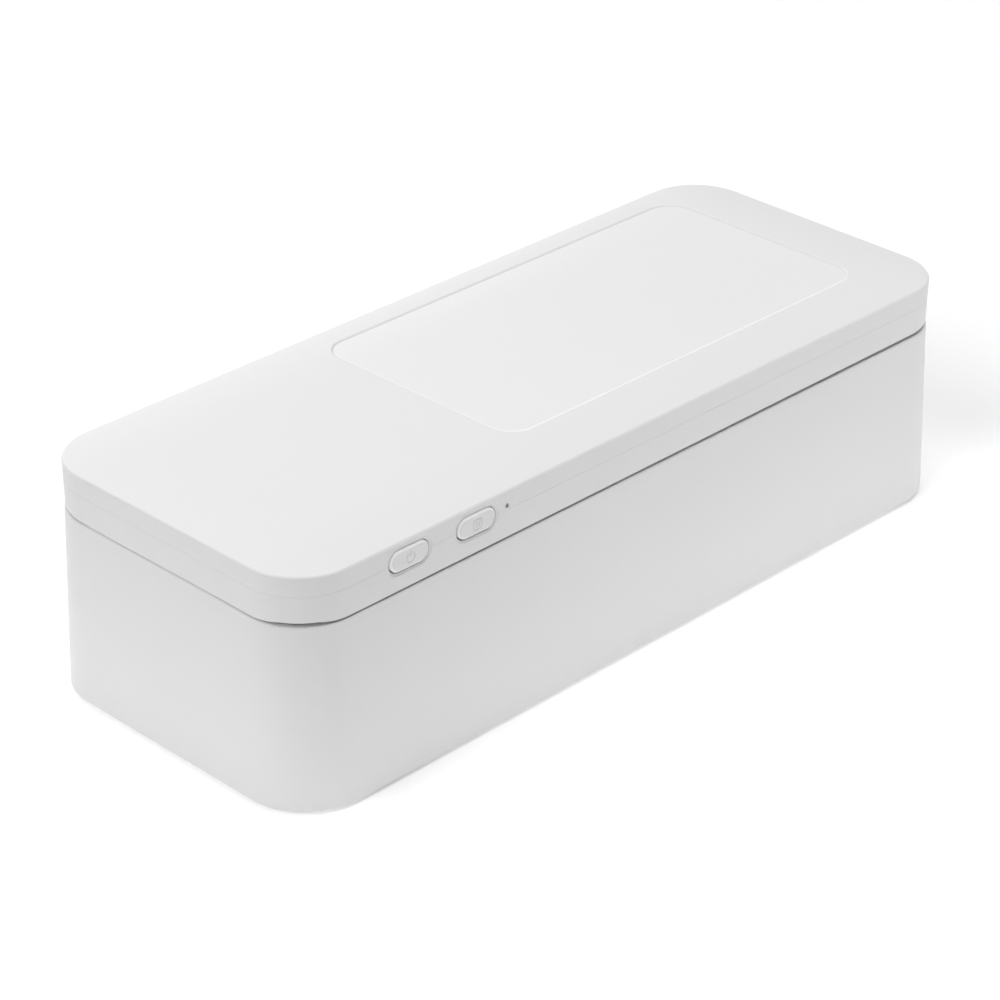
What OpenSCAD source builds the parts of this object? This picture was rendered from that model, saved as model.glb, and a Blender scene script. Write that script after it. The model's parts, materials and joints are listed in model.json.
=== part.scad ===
// Sanitizer box for phones: a leaning-sided base round a reflective chamber, and a thick
// hinged lid that holds the lamps, the control board and a charging coil.
// Millimetres. X runs along the box, the buttons face -Y, and Z is up.
// The origin is on the table, below the middle of the base.

/* [Base] */
// Length of the base at its bottom edge
base_length = 240; // [200:1:300]
// Width of the base at its bottom edge
base_width = 96.5; // [88:0.5:130]
// Corner radius of the base at its bottom edge
base_corner_r = 17.6; // [15:0.1:22]
// Height of the rim above the table
rim_z = 50.7; // [42:0.1:80]
// How far each side leans in from the bottom edge to the rim
base_draft = 1.5; // [0.5:0.1:2]
// Thickness of the base's outer wall
base_wall = 2.2; // [1.8:0.1:2.6]
// Width of the seats for the chamber and the bottom cover
seat_width = 1.8; // [1.2:0.1:2.2]
// Thickness of those seats
seat_thickness = 1.6; // [1.2:0.1:2.4]
// Depth of the chamber's flange below the rim
flange_drop = 1.3; // [0.8:0.1:2]

/* [Chamber] */
// Thickness of the chamber's walls and floor
liner_wall = 1.4; // [1:0.1:1.8]
// Width of the flange that shows round the chamber's mouth
flange_width = 3.4; // [3.2:0.1:6]
// Thickness of the flange
flange_thickness = 1.5; // [1:0.1:2]
// Inner corner radius of the chamber
chamber_corner_r = 14; // [11:0.5:20]
// Height of the screw bosses under the chamber
liner_boss_h = 3.6; // [3:0.1:6]
// Margin between the rack and the chamber's walls
rack_margin = 5; // [3:0.5:10]
// Height of the rack above the chamber's floor
rack_height = 4; // [3:0.5:8]
// Width of the rack's bars
rack_bar_w = 2.4; // [1.6:0.1:4]
// Number of bars across the rack
rack_bars = 11; // [5:1:17]

/* [Bottom] */
// Thickness of the bottom cover
cover_thickness = 1.8; // [1.6:0.1:2.4]
// How far the feet stand out below the base
foot_proud = 0.7; // [0.5:0.1:2]
// Radius of the feet
foot_r = 7; // [5:0.5:10]
// Inset of the feet from the sides of the base
foot_inset = 15; // [14:0.5:24]
// Radius of the bottom screws' shanks
screw_r = 1.25; // [1:0.05:1.5]

/* [Lid] */
// Gap between the rim and the lid
lid_gap = 0.7; // [0.5:0.1:1.2]
// How far the lid's lower edge is set in from the rim
lid_inset = 0.2; // [0.2:0.1:1]
// Height of the lid's side, up to its top edge
lid_side_h = 12.2; // [11.6:0.1:16]
// How far the lid's side leans out for each millimetre up
lid_lean = 0.02; // [0:0.01:0.1]
// Height of the parting line above the lid's lower edge
parting_h = 6.9; // [6.2:0.1:6.9]
// Thickness of the lid's side walls
lid_wall = 2; // [1.6:0.1:2.4]
// Thickness of the lid's lower tray
tray_thickness = 1.8; // [1.6:0.1:2.4]
// Rise of the crowned top above its edge
crown_rise = 1.2; // [0.8:0.1:2]
// Distance over which the crown rolls off
crown_run = 20; // [10:1:30]

/* [Charging pad] */
// Length of the pad
pad_length = 131; // [100:0.2:150]
// Width of the pad
pad_width = 68; // [60:0.1:76]
// Corner radius of the pad
pad_corner_r = 7.3; // [3:0.1:12]
// Distance from the lid's right end to the pad
pad_margin = 20.2; // [10:0.1:30]
// How far the pad lies behind the lid's middle
pad_shift_y = 4.1; // [0:0.1:5]
// Depth of the pad's face below the crown
pad_depth = 0.45; // [0.2:0.05:0.6]
// Thickness of the pad
pad_thickness = 1; // [0.6:0.1:1.2]

/* [Buttons] */
// Length of a button
button_length = 12.3; // [10:0.1:14]
// Height of a button
button_height = 5.5; // [4.4:0.1:5.8]
// How far a button stands out of the lid's side
button_proud = 0.9; // [0.6:0.1:1.4]
// Travel of a button
button_travel = 0.5; // [0.3:0.05:0.8]
// Distance from the lid's left end to the first button's middle
button_inset = 35; // [30:0.1:40]
// Distance between the buttons' middles
button_pitch = 21.8; // [18:0.1:24]
// Height of the buttons' middles above the lid's lower edge
button_h = 7.1; // [6.6:0.1:7.4]
// Clearance between a button and its hole
button_clearance = 0.35; // [0.2:0.05:0.5]
// Radius of the pinhole
pinhole_r = 0.4; // [0.3:0.05:0.8]
// Distance from the second button's middle to the pinhole
pinhole_offset = 10.5; // [9:0.1:14]
// Height of the pinhole above the buttons' middles
pinhole_rise = 0.9; // [0.6:0.1:1.4]

/* [Hinge] */
// Radius of the hinge pins
pin_r = 1; // [0.8:0.05:1.3]
// Outer radius of the knuckles
knuckle_r = 2.6; // [2.2:0.1:3]
// Length of each of the three knuckles of a hinge
knuckle_length = 9.4; // [6:0.2:12]
// Gap between neighbouring knuckles
knuckle_gap = 0.3; // [0.2:0.05:0.5]
// How far the hinge axis lies behind the rim's rear side
hinge_out = 1.4; // [1.2:0.05:3]
// Clearance between a knuckle and the wall that it turns past
knuckle_slack = 0.35; // [0.3:0.05:0.5]
// Distance from the end of the base to a hinge's middle
hinge_inset = 36; // [33:0.5:60]
// Running clearance of the pins in the lid's knuckles
pin_clearance = 0.05; // [0.03:0.01:0.1]

/* [Lamps] */
// Number of lamps on each strip
lamps_per_strip = 4; // [2:1:4]
// Distance between lamps
lamp_pitch = 54; // [30:1:58]
// Distance between the two strips' middles
strip_spacing = 40; // [30:1:46]
// Width of a strip
strip_width = 10; // [8:0.5:12]
// Radius of the quartz windows
window_r = 4.8; // [4:0.1:5.5]

/* [Power inlet] */
// Width of the socket's mouth, outside
socket_width = 8.94; // [8.5:0.01:9.2]
// Height of the socket's mouth, outside
socket_height = 3.26; // [3:0.01:3.4]
// Depth of the socket
socket_depth = 7.3; // [6.5:0.1:10]
// Wall of the socket's shell
socket_wall = 0.3; // [0.2:0.05:0.4]
// Distance from the main board's right edge to the socket's middle
socket_inset = 10; // [7:0.5:20]

/* [Hidden] */
$fn = 64;

// Clearances and small overlaps
fit = 0.2;              // between pieces that drop into each other
bore_slack = 0.02;      // round a shank or pin that is held
through = 1;            // how far a cut runs past a face

// Base levels and outlines
base_bottom_z = foot_proud;
base_h = rim_z - base_bottom_z;
cover_recess = 0.4;
cover_z = base_bottom_z + cover_recess;
cover_top_z = cover_z + cover_thickness;
flange_top_z = rim_z - flange_drop;
flange_z = flange_top_z - flange_thickness;
rim_length = base_length - 2 * base_draft;
rim_width = base_width - 2 * base_draft;
rim_corner_r = base_corner_r - base_draft;
pocket_length = rim_length - 2 * base_wall;
pocket_width = rim_width - 2 * base_wall;
pocket_corner_r = rim_corner_r - base_wall;
seat_length = pocket_length - 2 * seat_width;
seat_opening_w = pocket_width - 2 * seat_width;
seat_corner_r = pocket_corner_r - seat_width;
cover_pocket_l = base_length - 2 * base_wall;
cover_pocket_w = base_width - 2 * base_wall;
cover_corner_r = base_corner_r - base_wall;

// Chamber
chamber_length = pocket_length - 2 * flange_width;
chamber_width = pocket_width - 2 * flange_width;
liner_boss_r = 3.5;
liner_z = cover_top_z + liner_boss_h;
floor_z = liner_z + liner_wall;
rack_z = floor_z + rack_height;
rack_bar_h = 2;
rack_peg_r = 1.5;
rack_leg_r = 2.4;
rack_peg_depth = liner_wall - 0.5;
rack_length = chamber_length - 2 * rack_margin;
rack_width = chamber_width - 2 * rack_margin;
rack_corner_r = chamber_corner_r - rack_margin / 2;
rack_leg_x = rack_length / 2 - rack_corner_r - 4;
rack_leg_y = rack_width / 2 - rack_bar_w / 2;
seal_width = 1.6;
seal_inset = 0.6;
seal_top_z = rim_z + lid_gap - 0.3;

// Screws under the base
cover_screw_x = [-base_length / 2 + 34, 0, base_length / 2 - 34];
cover_screw_y = base_width / 2 - 22;
screw_head_r = 2.4;
screw_head_h = 1.5;
screw_length = liner_boss_h + liner_wall / 2 - bore_slack * 10;
screw_well_r = 4.2;
screw_well_h = 1.4;

// Magnets
magnet_l = 12;
magnet_t = 1.7;
magnet_h = 4;
magnet_x = base_length / 2 - base_corner_r - 8;

// Lid levels and outlines
lid_z = rim_z + lid_gap;
tray_top_z = lid_z + tray_thickness;
parting_z = lid_z + parting_h;
parting_gap = 0.12;
lid_edge_z = lid_z + lid_side_h;
lid_top_z = lid_edge_z + crown_rise;
pad_top_z = lid_top_z - pad_depth;
lid_length = rim_length - 2 * lid_inset;
lid_width = rim_width - 2 * lid_inset;
lid_corner_r = rim_corner_r - lid_inset;
cavity_length = lid_length - 2 * lid_wall;
cavity_width = lid_width - 2 * lid_wall;
cavity_corner_r = lid_corner_r - lid_wall;
cavity_top_z = pad_top_z - pad_thickness - 1.5;
cover_steps = 8;

// Pad
pad_x = lid_length / 2 + lid_lean * lid_side_h - pad_margin - pad_length / 2;

// Reflector and lamps
reflector_t = 1;
reflector_inset = 1;
reflector_length = chamber_length - 2 * reflector_inset;
reflector_width = chamber_width - 2 * reflector_inset;
reflector_corner_r = chamber_corner_r - 4;
reflector_screw_x = reflector_length / 2 - 8;
reflector_screw_y = reflector_width / 2 - 8;
window_t = 0.7;
window_seat = 0.8;
window_hole_r = window_r - 0.9;
lamp_hole_r = 3;
lamp_size = 3.5;
lamp_h = 0.9;
strip_t = 1.2;
strip_end = 9;
strip_length = (lamps_per_strip - 1) * lamp_pitch + 2 * strip_end;
lamp_xs = [for (i = [0:lamps_per_strip - 1]) (i - (lamps_per_strip - 1) / 2) * lamp_pitch];
strip_ys = [-strip_spacing / 2, strip_spacing / 2];

// Lid screws and the bosses they turn into
lid_boss_r = 3;
lid_screw_r = 1;
lid_screw_head_r = 2;
lid_screw_head_h = 0.9;
lid_screw_length = 6;
lid_boss_x = lid_length / 2 - 10.5;
lid_boss_y = lid_width / 2 - 10.75;
lid_boss_spots = [for (x = [-lid_boss_x, -20, lid_boss_x], y = [-lid_boss_y, lid_boss_y]) [x, y]];

// Main board, in the lid's left end
board_t = 1.2;
board_z = tray_top_z + 2.8;
board_top_z = board_z + board_t;
board_left = -lid_length / 2 + 20;
board_length = 60;
board_x = board_left + board_length / 2;
board_gap = 0.4;
board_rear_y = cavity_width / 2 - board_gap;
board_screw_inset_x = 4;
board_screw_inset_y = 9;
board_screw_r = 0.9;
board_post_r = 2.4;

// Buttons
button_z = lid_z + button_h;
front_y = -lid_width / 2 - lid_lean * button_h;
cavity_front_y = -cavity_width / 2;
power_x = -lid_length / 2 + button_inset;
cycle_x = power_x + button_pitch;
pinhole_x = cycle_x + pinhole_offset;
pinhole_z = button_z + pinhole_rise;
button_face_y = front_y - button_proud;
button_flange_t = 0.7;
button_flange_end = 1.6;
button_flange_rim = 0.4;
button_flange_gap = 0.15;
flange_back_y = cavity_front_y + button_flange_gap + button_flange_t;
board_front_y = flange_back_y + button_travel + board_gap;
board_spots = [for (x = [board_left + board_screw_inset_x,
                         board_left + board_length - board_screw_inset_x],
                    y = [board_front_y + board_screw_inset_y, board_rear_y - board_screw_inset_y]) [x, y]];
plunger_r = 0.8;
plunger_bore_gap = 0.1;
plunger_out = 1;
switch_l = 6;
switch_depth = 3.6;
switch_h = 2.6;
switch_front_y = flange_back_y + plunger_out + button_travel + 0.3;
switch_bore_depth = plunger_out + button_travel + 0.6;

// Hinge
axis_y = rim_width / 2 + hinge_out;
axis_z = rim_z + 0.25;
hinge_xs = [-base_length / 2 + hinge_inset, base_length / 2 - hinge_inset];
hinge_span = 3 * knuckle_length + 2 * knuckle_gap;
gusset_drop = 9;
arm_h = 2.2;
pin_end = 0.5;

// Power inlet
socket_x = board_left + board_length - socket_inset;
socket_z = board_top_z + socket_height / 2;
socket_mouth_y = lid_width / 2 - 0.3;
inlet_slack = 0.35;
tongue_w = 6.7;
tongue_t = 0.7;

// Coil
coil_x = pad_x;
coil_y = pad_shift_y;
coil_outer_r = 24;
coil_inner_r = 10;
coil_t = 1.2;
coil_top_z = cavity_top_z - 0.2;
ferrite_t = 0.8;
ferrite_size = 53;
holder_t = 1.2;
holder_size = 62;
holder_post_inset = 3.6;
holder_post_r = 2.4;
ferrite_z = coil_top_z - coil_t - ferrite_t;
holder_z = ferrite_z - holder_t;
holder_spots = [for (sx = [-1, 1], sy = [-1, 1])
    [coil_x + sx * (holder_size / 2 - holder_post_inset),
     coil_y + sy * (holder_size / 2 - holder_post_inset)]];
lead_r = 0.5;
lead_z = coil_top_z - coil_t / 2;
lead_ys = [-2, 2];
lead_drop_x = board_left + board_length - 3;

// ---------- shared shapes ----------

// Outline with four round corners
module round_outline(length, width, r) {
    square([length - 2 * r, width], center = true);
    square([length, width - 2 * r], center = true);
    for (sx = [-1, 1], sy = [-1, 1]) {
        translate([sx * (length / 2 - r), sy * (width / 2 - r)]) circle(r);
    }
}

// Plate with that outline, from z0 up to z1
module plate(length, width, r, z0, z1) {
    translate([0, 0, z0]) linear_extrude(z1 - z0) round_outline(length, width, r);
}

// Block with round corners whose sides lean in by draft between z0 and z1
module drafted_block(length, width, r, z0, z1, draft) {
    height = z1 - z0;
    reach_x = length / 2 - r;
    reach_y = width / 2 - r;
    translate([0, 0, z0]) {
        for (sx = [-1, 1], sy = [-1, 1]) {
            translate([sx * reach_x, sy * reach_y, 0]) cylinder(h = height, r1 = r, r2 = r - draft);
        }
        rotate([90, 0, 0]) linear_extrude(2 * reach_y, center = true) side_profile(length, height, draft);
        rotate([90, 0, 90]) linear_extrude(2 * reach_x, center = true) side_profile(width, height, draft);
    }
}

module side_profile(size, height, draft) {
    polygon([[-size / 2, 0], [size / 2, 0], [size / 2 - draft, height], [draft - size / 2, height]]);
}

// Pill outline, length along X
module pill_outline(length, height) {
    square([length - height, height], center = true);
    for (sx = [-1, 1]) {
        translate([sx * (length - height) / 2, 0]) circle(height / 2);
    }
}

// Pill-shaped prism along Y, from y0 to y1, centred on x and z
module pill(x, z, length, height, y0, y1) {
    translate([x, y1, z]) rotate([90, 0, 0]) linear_extrude(y1 - y0) pill_outline(length, height);
}

// Upright post
module post(x, y, r, z0, z1) {
    translate([x, y, z0]) cylinder(h = z1 - z0, r = r);
}

// Block between two corners
module box(from, to) {
    translate(from) cube(to - from);
}

// Cylinder along X, centred on x
module bar_x(x, y, z, r, length) {
    translate([x - length / 2, y, z]) rotate([0, 90, 0]) cylinder(h = length, r = r);
}

// Screw with its head below (up = 1) or above (up = -1) the shank; z is the head's seat
module screw(x, y, z, shank_r, length, head_r, head_h, up) {
    head_z = up > 0 ? z - head_h : z;
    shank_z = up > 0 ? z : z - length;
    slot_z = up > 0 ? head_z - through : z + head_h / 2;
    difference() {
        union() {
            post(x, y, shank_r, shank_z, shank_z + length);
            post(x, y, head_r, head_z, head_z + head_h);
        }
        for (turn = [0, 90]) {
            translate([x, y, slot_z + (through + head_h / 2) / 2]) rotate([0, 0, turn])
                cube([head_r * 1.1, head_r * 0.28, through + head_h / 2], center = true);
        }
    }
}

// ---------- base ----------

// How far the base's side has leaned in at height z
function lean_at(z) = base_draft * (z - base_bottom_z) / base_h;

module base_hollow() {
    low = cover_top_z + seat_thickness;
    high = flange_z - seat_thickness;
    inset = base_wall + lean_at(low);
    plate(cover_pocket_l, cover_pocket_w, cover_corner_r, base_bottom_z - through, cover_top_z);
    plate(seat_length, seat_opening_w, seat_corner_r, base_bottom_z, rim_z);
    drafted_block(base_length - 2 * inset, base_width - 2 * inset, base_corner_r - inset,
                  low, high, lean_at(high) - lean_at(low));
    plate(pocket_length, pocket_width, pocket_corner_r, flange_z, rim_z + through);
}

// Point where a line from p touches the knuckle on its outer side
function tangent_point(p) =
    let (d = [p[0] - axis_y, p[1] - axis_z], reach = norm(d),
         turn = atan2(d[1], d[0]) + acos(knuckle_r / reach))
    [axis_y + knuckle_r * cos(turn), axis_z + knuckle_r * sin(turn)];

module base_knuckle(x) {
    root_y = rim_width / 2 - base_wall / 2;
    root = [rim_width / 2, rim_z - gusset_drop];
    translate([x - knuckle_length / 2, 0, 0]) rotate([90, 0, 90]) linear_extrude(knuckle_length)
        polygon([[root_y, rim_z - gusset_drop], root, tangent_point(root), [axis_y, axis_z],
                 [axis_y, rim_z - 0.4], [root_y, rim_z - 0.4]]);
    bar_x(x, axis_y, axis_z, knuckle_r, knuckle_length);
}

// Room in a wall for a knuckle that turns past it
module knuckle_relief(x) {
    bar_x(x, axis_y, axis_z, knuckle_r + knuckle_slack, knuckle_length + 2 * knuckle_gap);
}

// Middles of the two base knuckles of each hinge
function base_knuckle_xs() = [for (x = hinge_xs, side = [-1, 1])
    x + side * (knuckle_length + knuckle_gap)];

module base_shell() {
    color("white") difference() {
        union() {
            difference() {
                drafted_block(base_length, base_width, base_corner_r, base_bottom_z, rim_z, base_draft);
                base_hollow();
                for (x = hinge_xs) {
                    knuckle_relief(x);
                }
            }
            for (x = base_knuckle_xs()) {
                base_knuckle(x);
            }
        }
        for (x = hinge_xs) {
            bar_x(x, axis_y, axis_z, pin_r + bore_slack, hinge_span + 2 * through);
        }
    }
}

module chamber_liner() {
    color("gainsboro") difference() {
        union() {
            plate(pocket_length - 2 * fit, pocket_width - 2 * fit, pocket_corner_r - fit,
                  flange_z, flange_top_z);
            plate(chamber_length + 2 * liner_wall, chamber_width + 2 * liner_wall,
                  chamber_corner_r + liner_wall, liner_z, flange_top_z);
            for (x = cover_screw_x, side = [-1, 1]) {
                post(x, side * cover_screw_y, liner_boss_r, cover_top_z + screw_well_h, floor_z);
            }
        }
        plate(chamber_length, chamber_width, chamber_corner_r, floor_z, flange_top_z + through);
        for (x = cover_screw_x, side = [-1, 1]) {
            post(x, side * cover_screw_y, screw_r + bore_slack, cover_top_z, liner_z + liner_wall / 2);
        }
        for (x = [-rack_leg_x, 0, rack_leg_x], side = [-1, 1]) {
            post(x, side * rack_leg_y, rack_peg_r + bore_slack,
                 floor_z - rack_peg_depth, floor_z + through);
        }
    }
}

module phone_rack() {
    inner_l = rack_length - 2 * rack_bar_w;
    inner_w = rack_width - 2 * rack_bar_w;
    pitch = (inner_l + rack_bar_w) / (rack_bars + 1);
    color("white") {
        difference() {
            plate(rack_length, rack_width, rack_corner_r, rack_z - rack_bar_h, rack_z);
            plate(inner_l, inner_w, rack_corner_r - rack_bar_w,
                  rack_z - rack_bar_h - through, rack_z + through);
        }
        intersection() {
            plate(rack_length - rack_bar_w, rack_width - rack_bar_w, rack_corner_r - rack_bar_w / 2,
                  rack_z - rack_bar_h, rack_z);
            union() {
                for (i = [1:rack_bars]) {
                    x = (i - (rack_bars + 1) / 2) * pitch;
                    box([x - rack_bar_w / 2, -rack_width / 2, rack_z - rack_bar_h],
                        [x + rack_bar_w / 2, rack_width / 2, rack_z]);
                }
                for (y = [-rack_width / 6, rack_width / 6]) {
                    box([-rack_length / 2, y - rack_bar_w / 2, rack_z - rack_bar_h],
                        [rack_length / 2, y + rack_bar_w / 2, rack_z]);
                }
            }
        }
        for (x = [-rack_leg_x, 0, rack_leg_x], side = [-1, 1]) {
            post(x, side * rack_leg_y, rack_leg_r, floor_z, rack_z - rack_bar_h);
            post(x, side * rack_leg_y, rack_peg_r, floor_z - rack_peg_depth, floor_z + rack_bar_h / 2);
        }
    }
}

module light_seal() {
    outer_inset = fit + seal_inset;
    inner_inset = outer_inset + seal_width;
    color("lightgray") difference() {
        plate(pocket_length - 2 * outer_inset, pocket_width - 2 * outer_inset,
              pocket_corner_r - outer_inset, flange_top_z, seal_top_z);
        plate(pocket_length - 2 * inner_inset, pocket_width - 2 * inner_inset,
              pocket_corner_r - inner_inset, flange_top_z - through, seal_top_z + through);
    }
}

function foot_spots() = [for (sx = [-1, 1], sy = [-1, 1])
    [sx * (base_length / 2 - foot_inset), sy * (base_width / 2 - foot_inset)]];
foot_seat = cover_thickness / 2;

module bottom_cover() {
    color("white") difference() {
        union() {
            plate(cover_pocket_l - 2 * fit, cover_pocket_w - 2 * fit, cover_corner_r - fit,
                  cover_z, cover_top_z);
            for (x = cover_screw_x, side = [-1, 1]) {
                post(x, side * cover_screw_y, screw_well_r, cover_z, cover_top_z + screw_well_h);
            }
        }
        for (spot = foot_spots()) {
            post(spot[0], spot[1], foot_r + fit, cover_z - through, cover_z + foot_seat);
        }
        for (x = cover_screw_x, side = [-1, 1]) {
            post(x, side * cover_screw_y, screw_head_r + fit, cover_z - through, cover_top_z);
            post(x, side * cover_screw_y, screw_r + fit, cover_z, cover_top_z + screw_well_h + through);
        }
    }
}

module bottom_screws() {
    color("silver") for (x = cover_screw_x, side = [-1, 1]) {
        screw(x, side * cover_screw_y, cover_top_z, screw_r, screw_length, screw_head_r, screw_head_h, 1);
    }
}

module rubber_feet() {
    color("dimgray") for (spot = foot_spots()) {
        post(spot[0], spot[1], foot_r, 0, cover_z + foot_seat);
    }
}

magnet_top_z = flange_z - seat_thickness - 0.1;
magnet_gap_y = -chamber_width / 2 - liner_wall - 0.2;

module base_magnets() {
    color("silver") for (side = [-1, 1]) {
        box([side * magnet_x - magnet_l / 2, magnet_gap_y - magnet_t, magnet_top_z - magnet_h],
            [side * magnet_x + magnet_l / 2, magnet_gap_y, magnet_top_z]);
    }
}

sensor_x = board_left + board_length - 4;
sensor_magnet_l = 5;

module sensor_magnet() {
    color("silver") box([sensor_x - sensor_magnet_l / 2, magnet_gap_y - magnet_t, magnet_top_z - magnet_h],
                        [sensor_x + sensor_magnet_l / 2, magnet_gap_y, magnet_top_z]);
}

module hinge_pins() {
    color("silver") for (x = hinge_xs) {
        bar_x(x, axis_y, axis_z, pin_r, hinge_span - 2 * pin_end);
    }
}

// ---------- lid ----------

// Holes that the lid's frame and cover share: both buttons and the power inlet
module lid_openings() {
    for (x = [power_x, cycle_x]) {
        pill(x, button_z, button_length + 2 * button_clearance, button_height + 2 * button_clearance,
             -lid_width, cavity_front_y + through);
    }
    pill(socket_x, socket_z, socket_width + 2 * inlet_slack, socket_height + 2 * inlet_slack,
         cavity_width / 2 - through, lid_width);
}

module lid_knuckle(x) {
    root_y = cavity_width / 2 + lid_wall / 2;
    translate([x - knuckle_length / 2, 0, 0]) rotate([90, 0, 90]) linear_extrude(knuckle_length)
        polygon([[root_y, lid_z], [axis_y, lid_z], [axis_y, axis_z + knuckle_r],
                 [axis_y - knuckle_r / 2, axis_z + knuckle_r],
                 [lid_width / 2, lid_z + arm_h + 1], [root_y, lid_z + arm_h + 1]]);
    bar_x(x, axis_y, axis_z, knuckle_r, knuckle_length);
}

module lid_frame() {
    color("white") difference() {
        union() {
            difference() {
                drafted_block(lid_length, lid_width, lid_corner_r, lid_z, parting_z, -lid_lean * parting_h);
                plate(cavity_length, cavity_width, cavity_corner_r, tray_top_z, parting_z + through);
                for (x = base_knuckle_xs()) {
                    knuckle_relief(x);
                }
            }
            for (spot = board_spots) {
                post(spot[0], spot[1], board_post_r, tray_top_z, board_z);
            }
            for (x = hinge_xs) {
                lid_knuckle(x);
            }
        }
        for (x = hinge_xs) {
            bar_x(x, axis_y, axis_z, pin_r + pin_clearance, knuckle_length + 2 * through);
        }
        lid_openings();
        for (x = lamp_xs, y = strip_ys) {
            post(x, y, window_r + fit / 2, lid_z - through, lid_z + window_seat);
            post(x, y, lamp_hole_r, lid_z, tray_top_z + through);
        }
        for (spot = lid_boss_spots) {
            post(spot[0], spot[1], lid_screw_head_r + fit, lid_z - through, lid_z + lid_screw_head_h + 0.1);
            post(spot[0], spot[1], lid_screw_r + fit, lid_z, tray_top_z + through);
        }
        for (spot = board_spots) {
            post(spot[0], spot[1], board_screw_r + bore_slack, tray_top_z, board_z + through);
        }
        for (sx = [-1, 1], sy = [-1, 1]) {
            post(sx * reflector_screw_x, sy * reflector_screw_y, board_screw_r + bore_slack,
                 lid_z - through, tray_top_z + through);
        }
    }
}

// Crowned outer form of the cover
module crown_form() {
    hull() {
        for (z = [parting_z + parting_gap, lid_edge_z - 0.6]) {
            out = lid_lean * (z - lid_z);
            plate(lid_length + 2 * out, lid_width + 2 * out, lid_corner_r + out, z, z + 0.01);
        }
        for (i = [0:cover_steps]) {
            in = crown_run * pow(i / cover_steps, 1.6);
            out = lid_lean * lid_side_h - 0.15 - in;
            z = lid_edge_z + crown_rise * (1 - pow(1 - in / crown_run, 2)) - 0.01;
            plate(lid_length + 2 * out, lid_width + 2 * out, max(lid_corner_r + out, 2), z, z + 0.01);
        }
    }
}

module lid_cover() {
    boss_z = tray_top_z;
    color("white") difference() {
        union() {
            difference() {
                crown_form();
                plate(cavity_length, cavity_width, cavity_corner_r, parting_z - through, cavity_top_z);
            }
            for (spot = lid_boss_spots) {
                post(spot[0], spot[1], lid_boss_r, boss_z, cavity_top_z + lid_wall / 2);
            }
            for (spot = holder_spots) {
                post(spot[0], spot[1], holder_post_r, holder_z + holder_t, cavity_top_z + lid_wall / 2);
            }
        }
        translate([pad_x, pad_shift_y, 0])
            plate(pad_length + fit, pad_width + fit, pad_corner_r + fit / 2,
                  pad_top_z - pad_thickness, lid_top_z + through);
        lid_openings();
        translate([pinhole_x, cavity_front_y + through, pinhole_z]) rotate([90, 0, 0])
            cylinder(h = lid_width, r = pinhole_r);
        for (spot = lid_boss_spots) {
            post(spot[0], spot[1], lid_screw_r + bore_slack, boss_z - through, boss_z + lid_screw_length);
        }
        for (spot = holder_spots) {
            post(spot[0], spot[1], board_screw_r + bore_slack, holder_z, cavity_top_z);
        }
    }
}

module charging_pad() {
    color("whitesmoke") translate([pad_x, pad_shift_y, 0])
        plate(pad_length, pad_width, pad_corner_r, pad_top_z - pad_thickness, pad_top_z);
}

module lid_reflector() {
    color("silver") difference() {
        plate(reflector_length, reflector_width, reflector_corner_r, lid_z - reflector_t, lid_z);
        for (x = lamp_xs, y = strip_ys) {
            post(x, y, window_hole_r, lid_z - reflector_t - through, lid_z + through);
        }
        for (sx = [-1, 1], sy = [-1, 1]) {
            post(sx * reflector_screw_x, sy * reflector_screw_y, board_screw_r + fit,
                 lid_z - reflector_t - through, lid_z + through);
        }
    }
}

module reflector_screws() {
    color("silver") for (sx = [-1, 1], sy = [-1, 1]) {
        screw(sx * reflector_screw_x, sy * reflector_screw_y, lid_z - reflector_t,
              board_screw_r, reflector_t + tray_thickness, lid_screw_head_r, 0.6, 1);
    }
}

module lid_screws() {
    color("silver") for (spot = lid_boss_spots) {
        screw(spot[0], spot[1], lid_z + lid_screw_head_h + 0.1, lid_screw_r, lid_screw_length,
              lid_screw_head_r, lid_screw_head_h, 1);
    }
}

module lamp_windows() {
    color("lightcyan") for (x = lamp_xs, y = strip_ys) {
        post(x, y, window_r, lid_z + 0.02, lid_z + 0.02 + window_t);
    }
}

module lamp_boards() {
    color("white") for (y = strip_ys) {
        box([-strip_length / 2, y - strip_width / 2, tray_top_z],
            [strip_length / 2, y + strip_width / 2, tray_top_z + strip_t]);
    }
}

module uv_lamps() {
    color("gold") for (x = lamp_xs, y = strip_ys) {
        box([x - lamp_size / 2, y - lamp_size / 2, tray_top_z - lamp_h],
            [x + lamp_size / 2, y + lamp_size / 2, tray_top_z]);
    }
}

module board_headers() {
    header_l = 10;
    header_w = 2.5;
    color("dimgray") for (y = strip_ys) {
        box([board_x - header_l / 2, y - header_w / 2, tray_top_z + strip_t],
            [board_x + header_l / 2, y + header_w / 2, board_z]);
    }
}

module main_board() {
    color("seagreen") difference() {
        box([board_left, board_front_y, board_z], [board_left + board_length, board_rear_y, board_top_z]);
        for (spot = board_spots) {
            post(spot[0], spot[1], board_screw_r + fit, board_z - through, board_top_z + through);
        }
    }
}

module board_screws() {
    color("silver") for (spot = board_spots) {
        screw(spot[0], spot[1], board_top_z, board_screw_r, board_t + 2.2, 1.9, 1, -1);
    }
}

// Chip-like block on the main board, placed from the board's left edge and the lid's middle
module on_board(x, y, length, width, height) {
    box([board_left + x - length / 2, y - width / 2, board_top_z],
        [board_left + x + length / 2, y + width / 2, board_top_z + height]);
}

module controller_chip() {
    color("dimgray") on_board(20, -6, 7, 7, 1.1);
}

module charger_chip() {
    color("dimgray") on_board(44, 2, 5, 5, 0.9);
}

module power_inductor() {
    color("gray") on_board(36, 16, 6.6, 6.6, 2.8);
}

module filter_capacitors() {
    color("tan") for (i = [0:3]) {
        on_board(50, -12 + 4 * i - 4, 4.5, 2.6, 2);
    }
}

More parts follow.
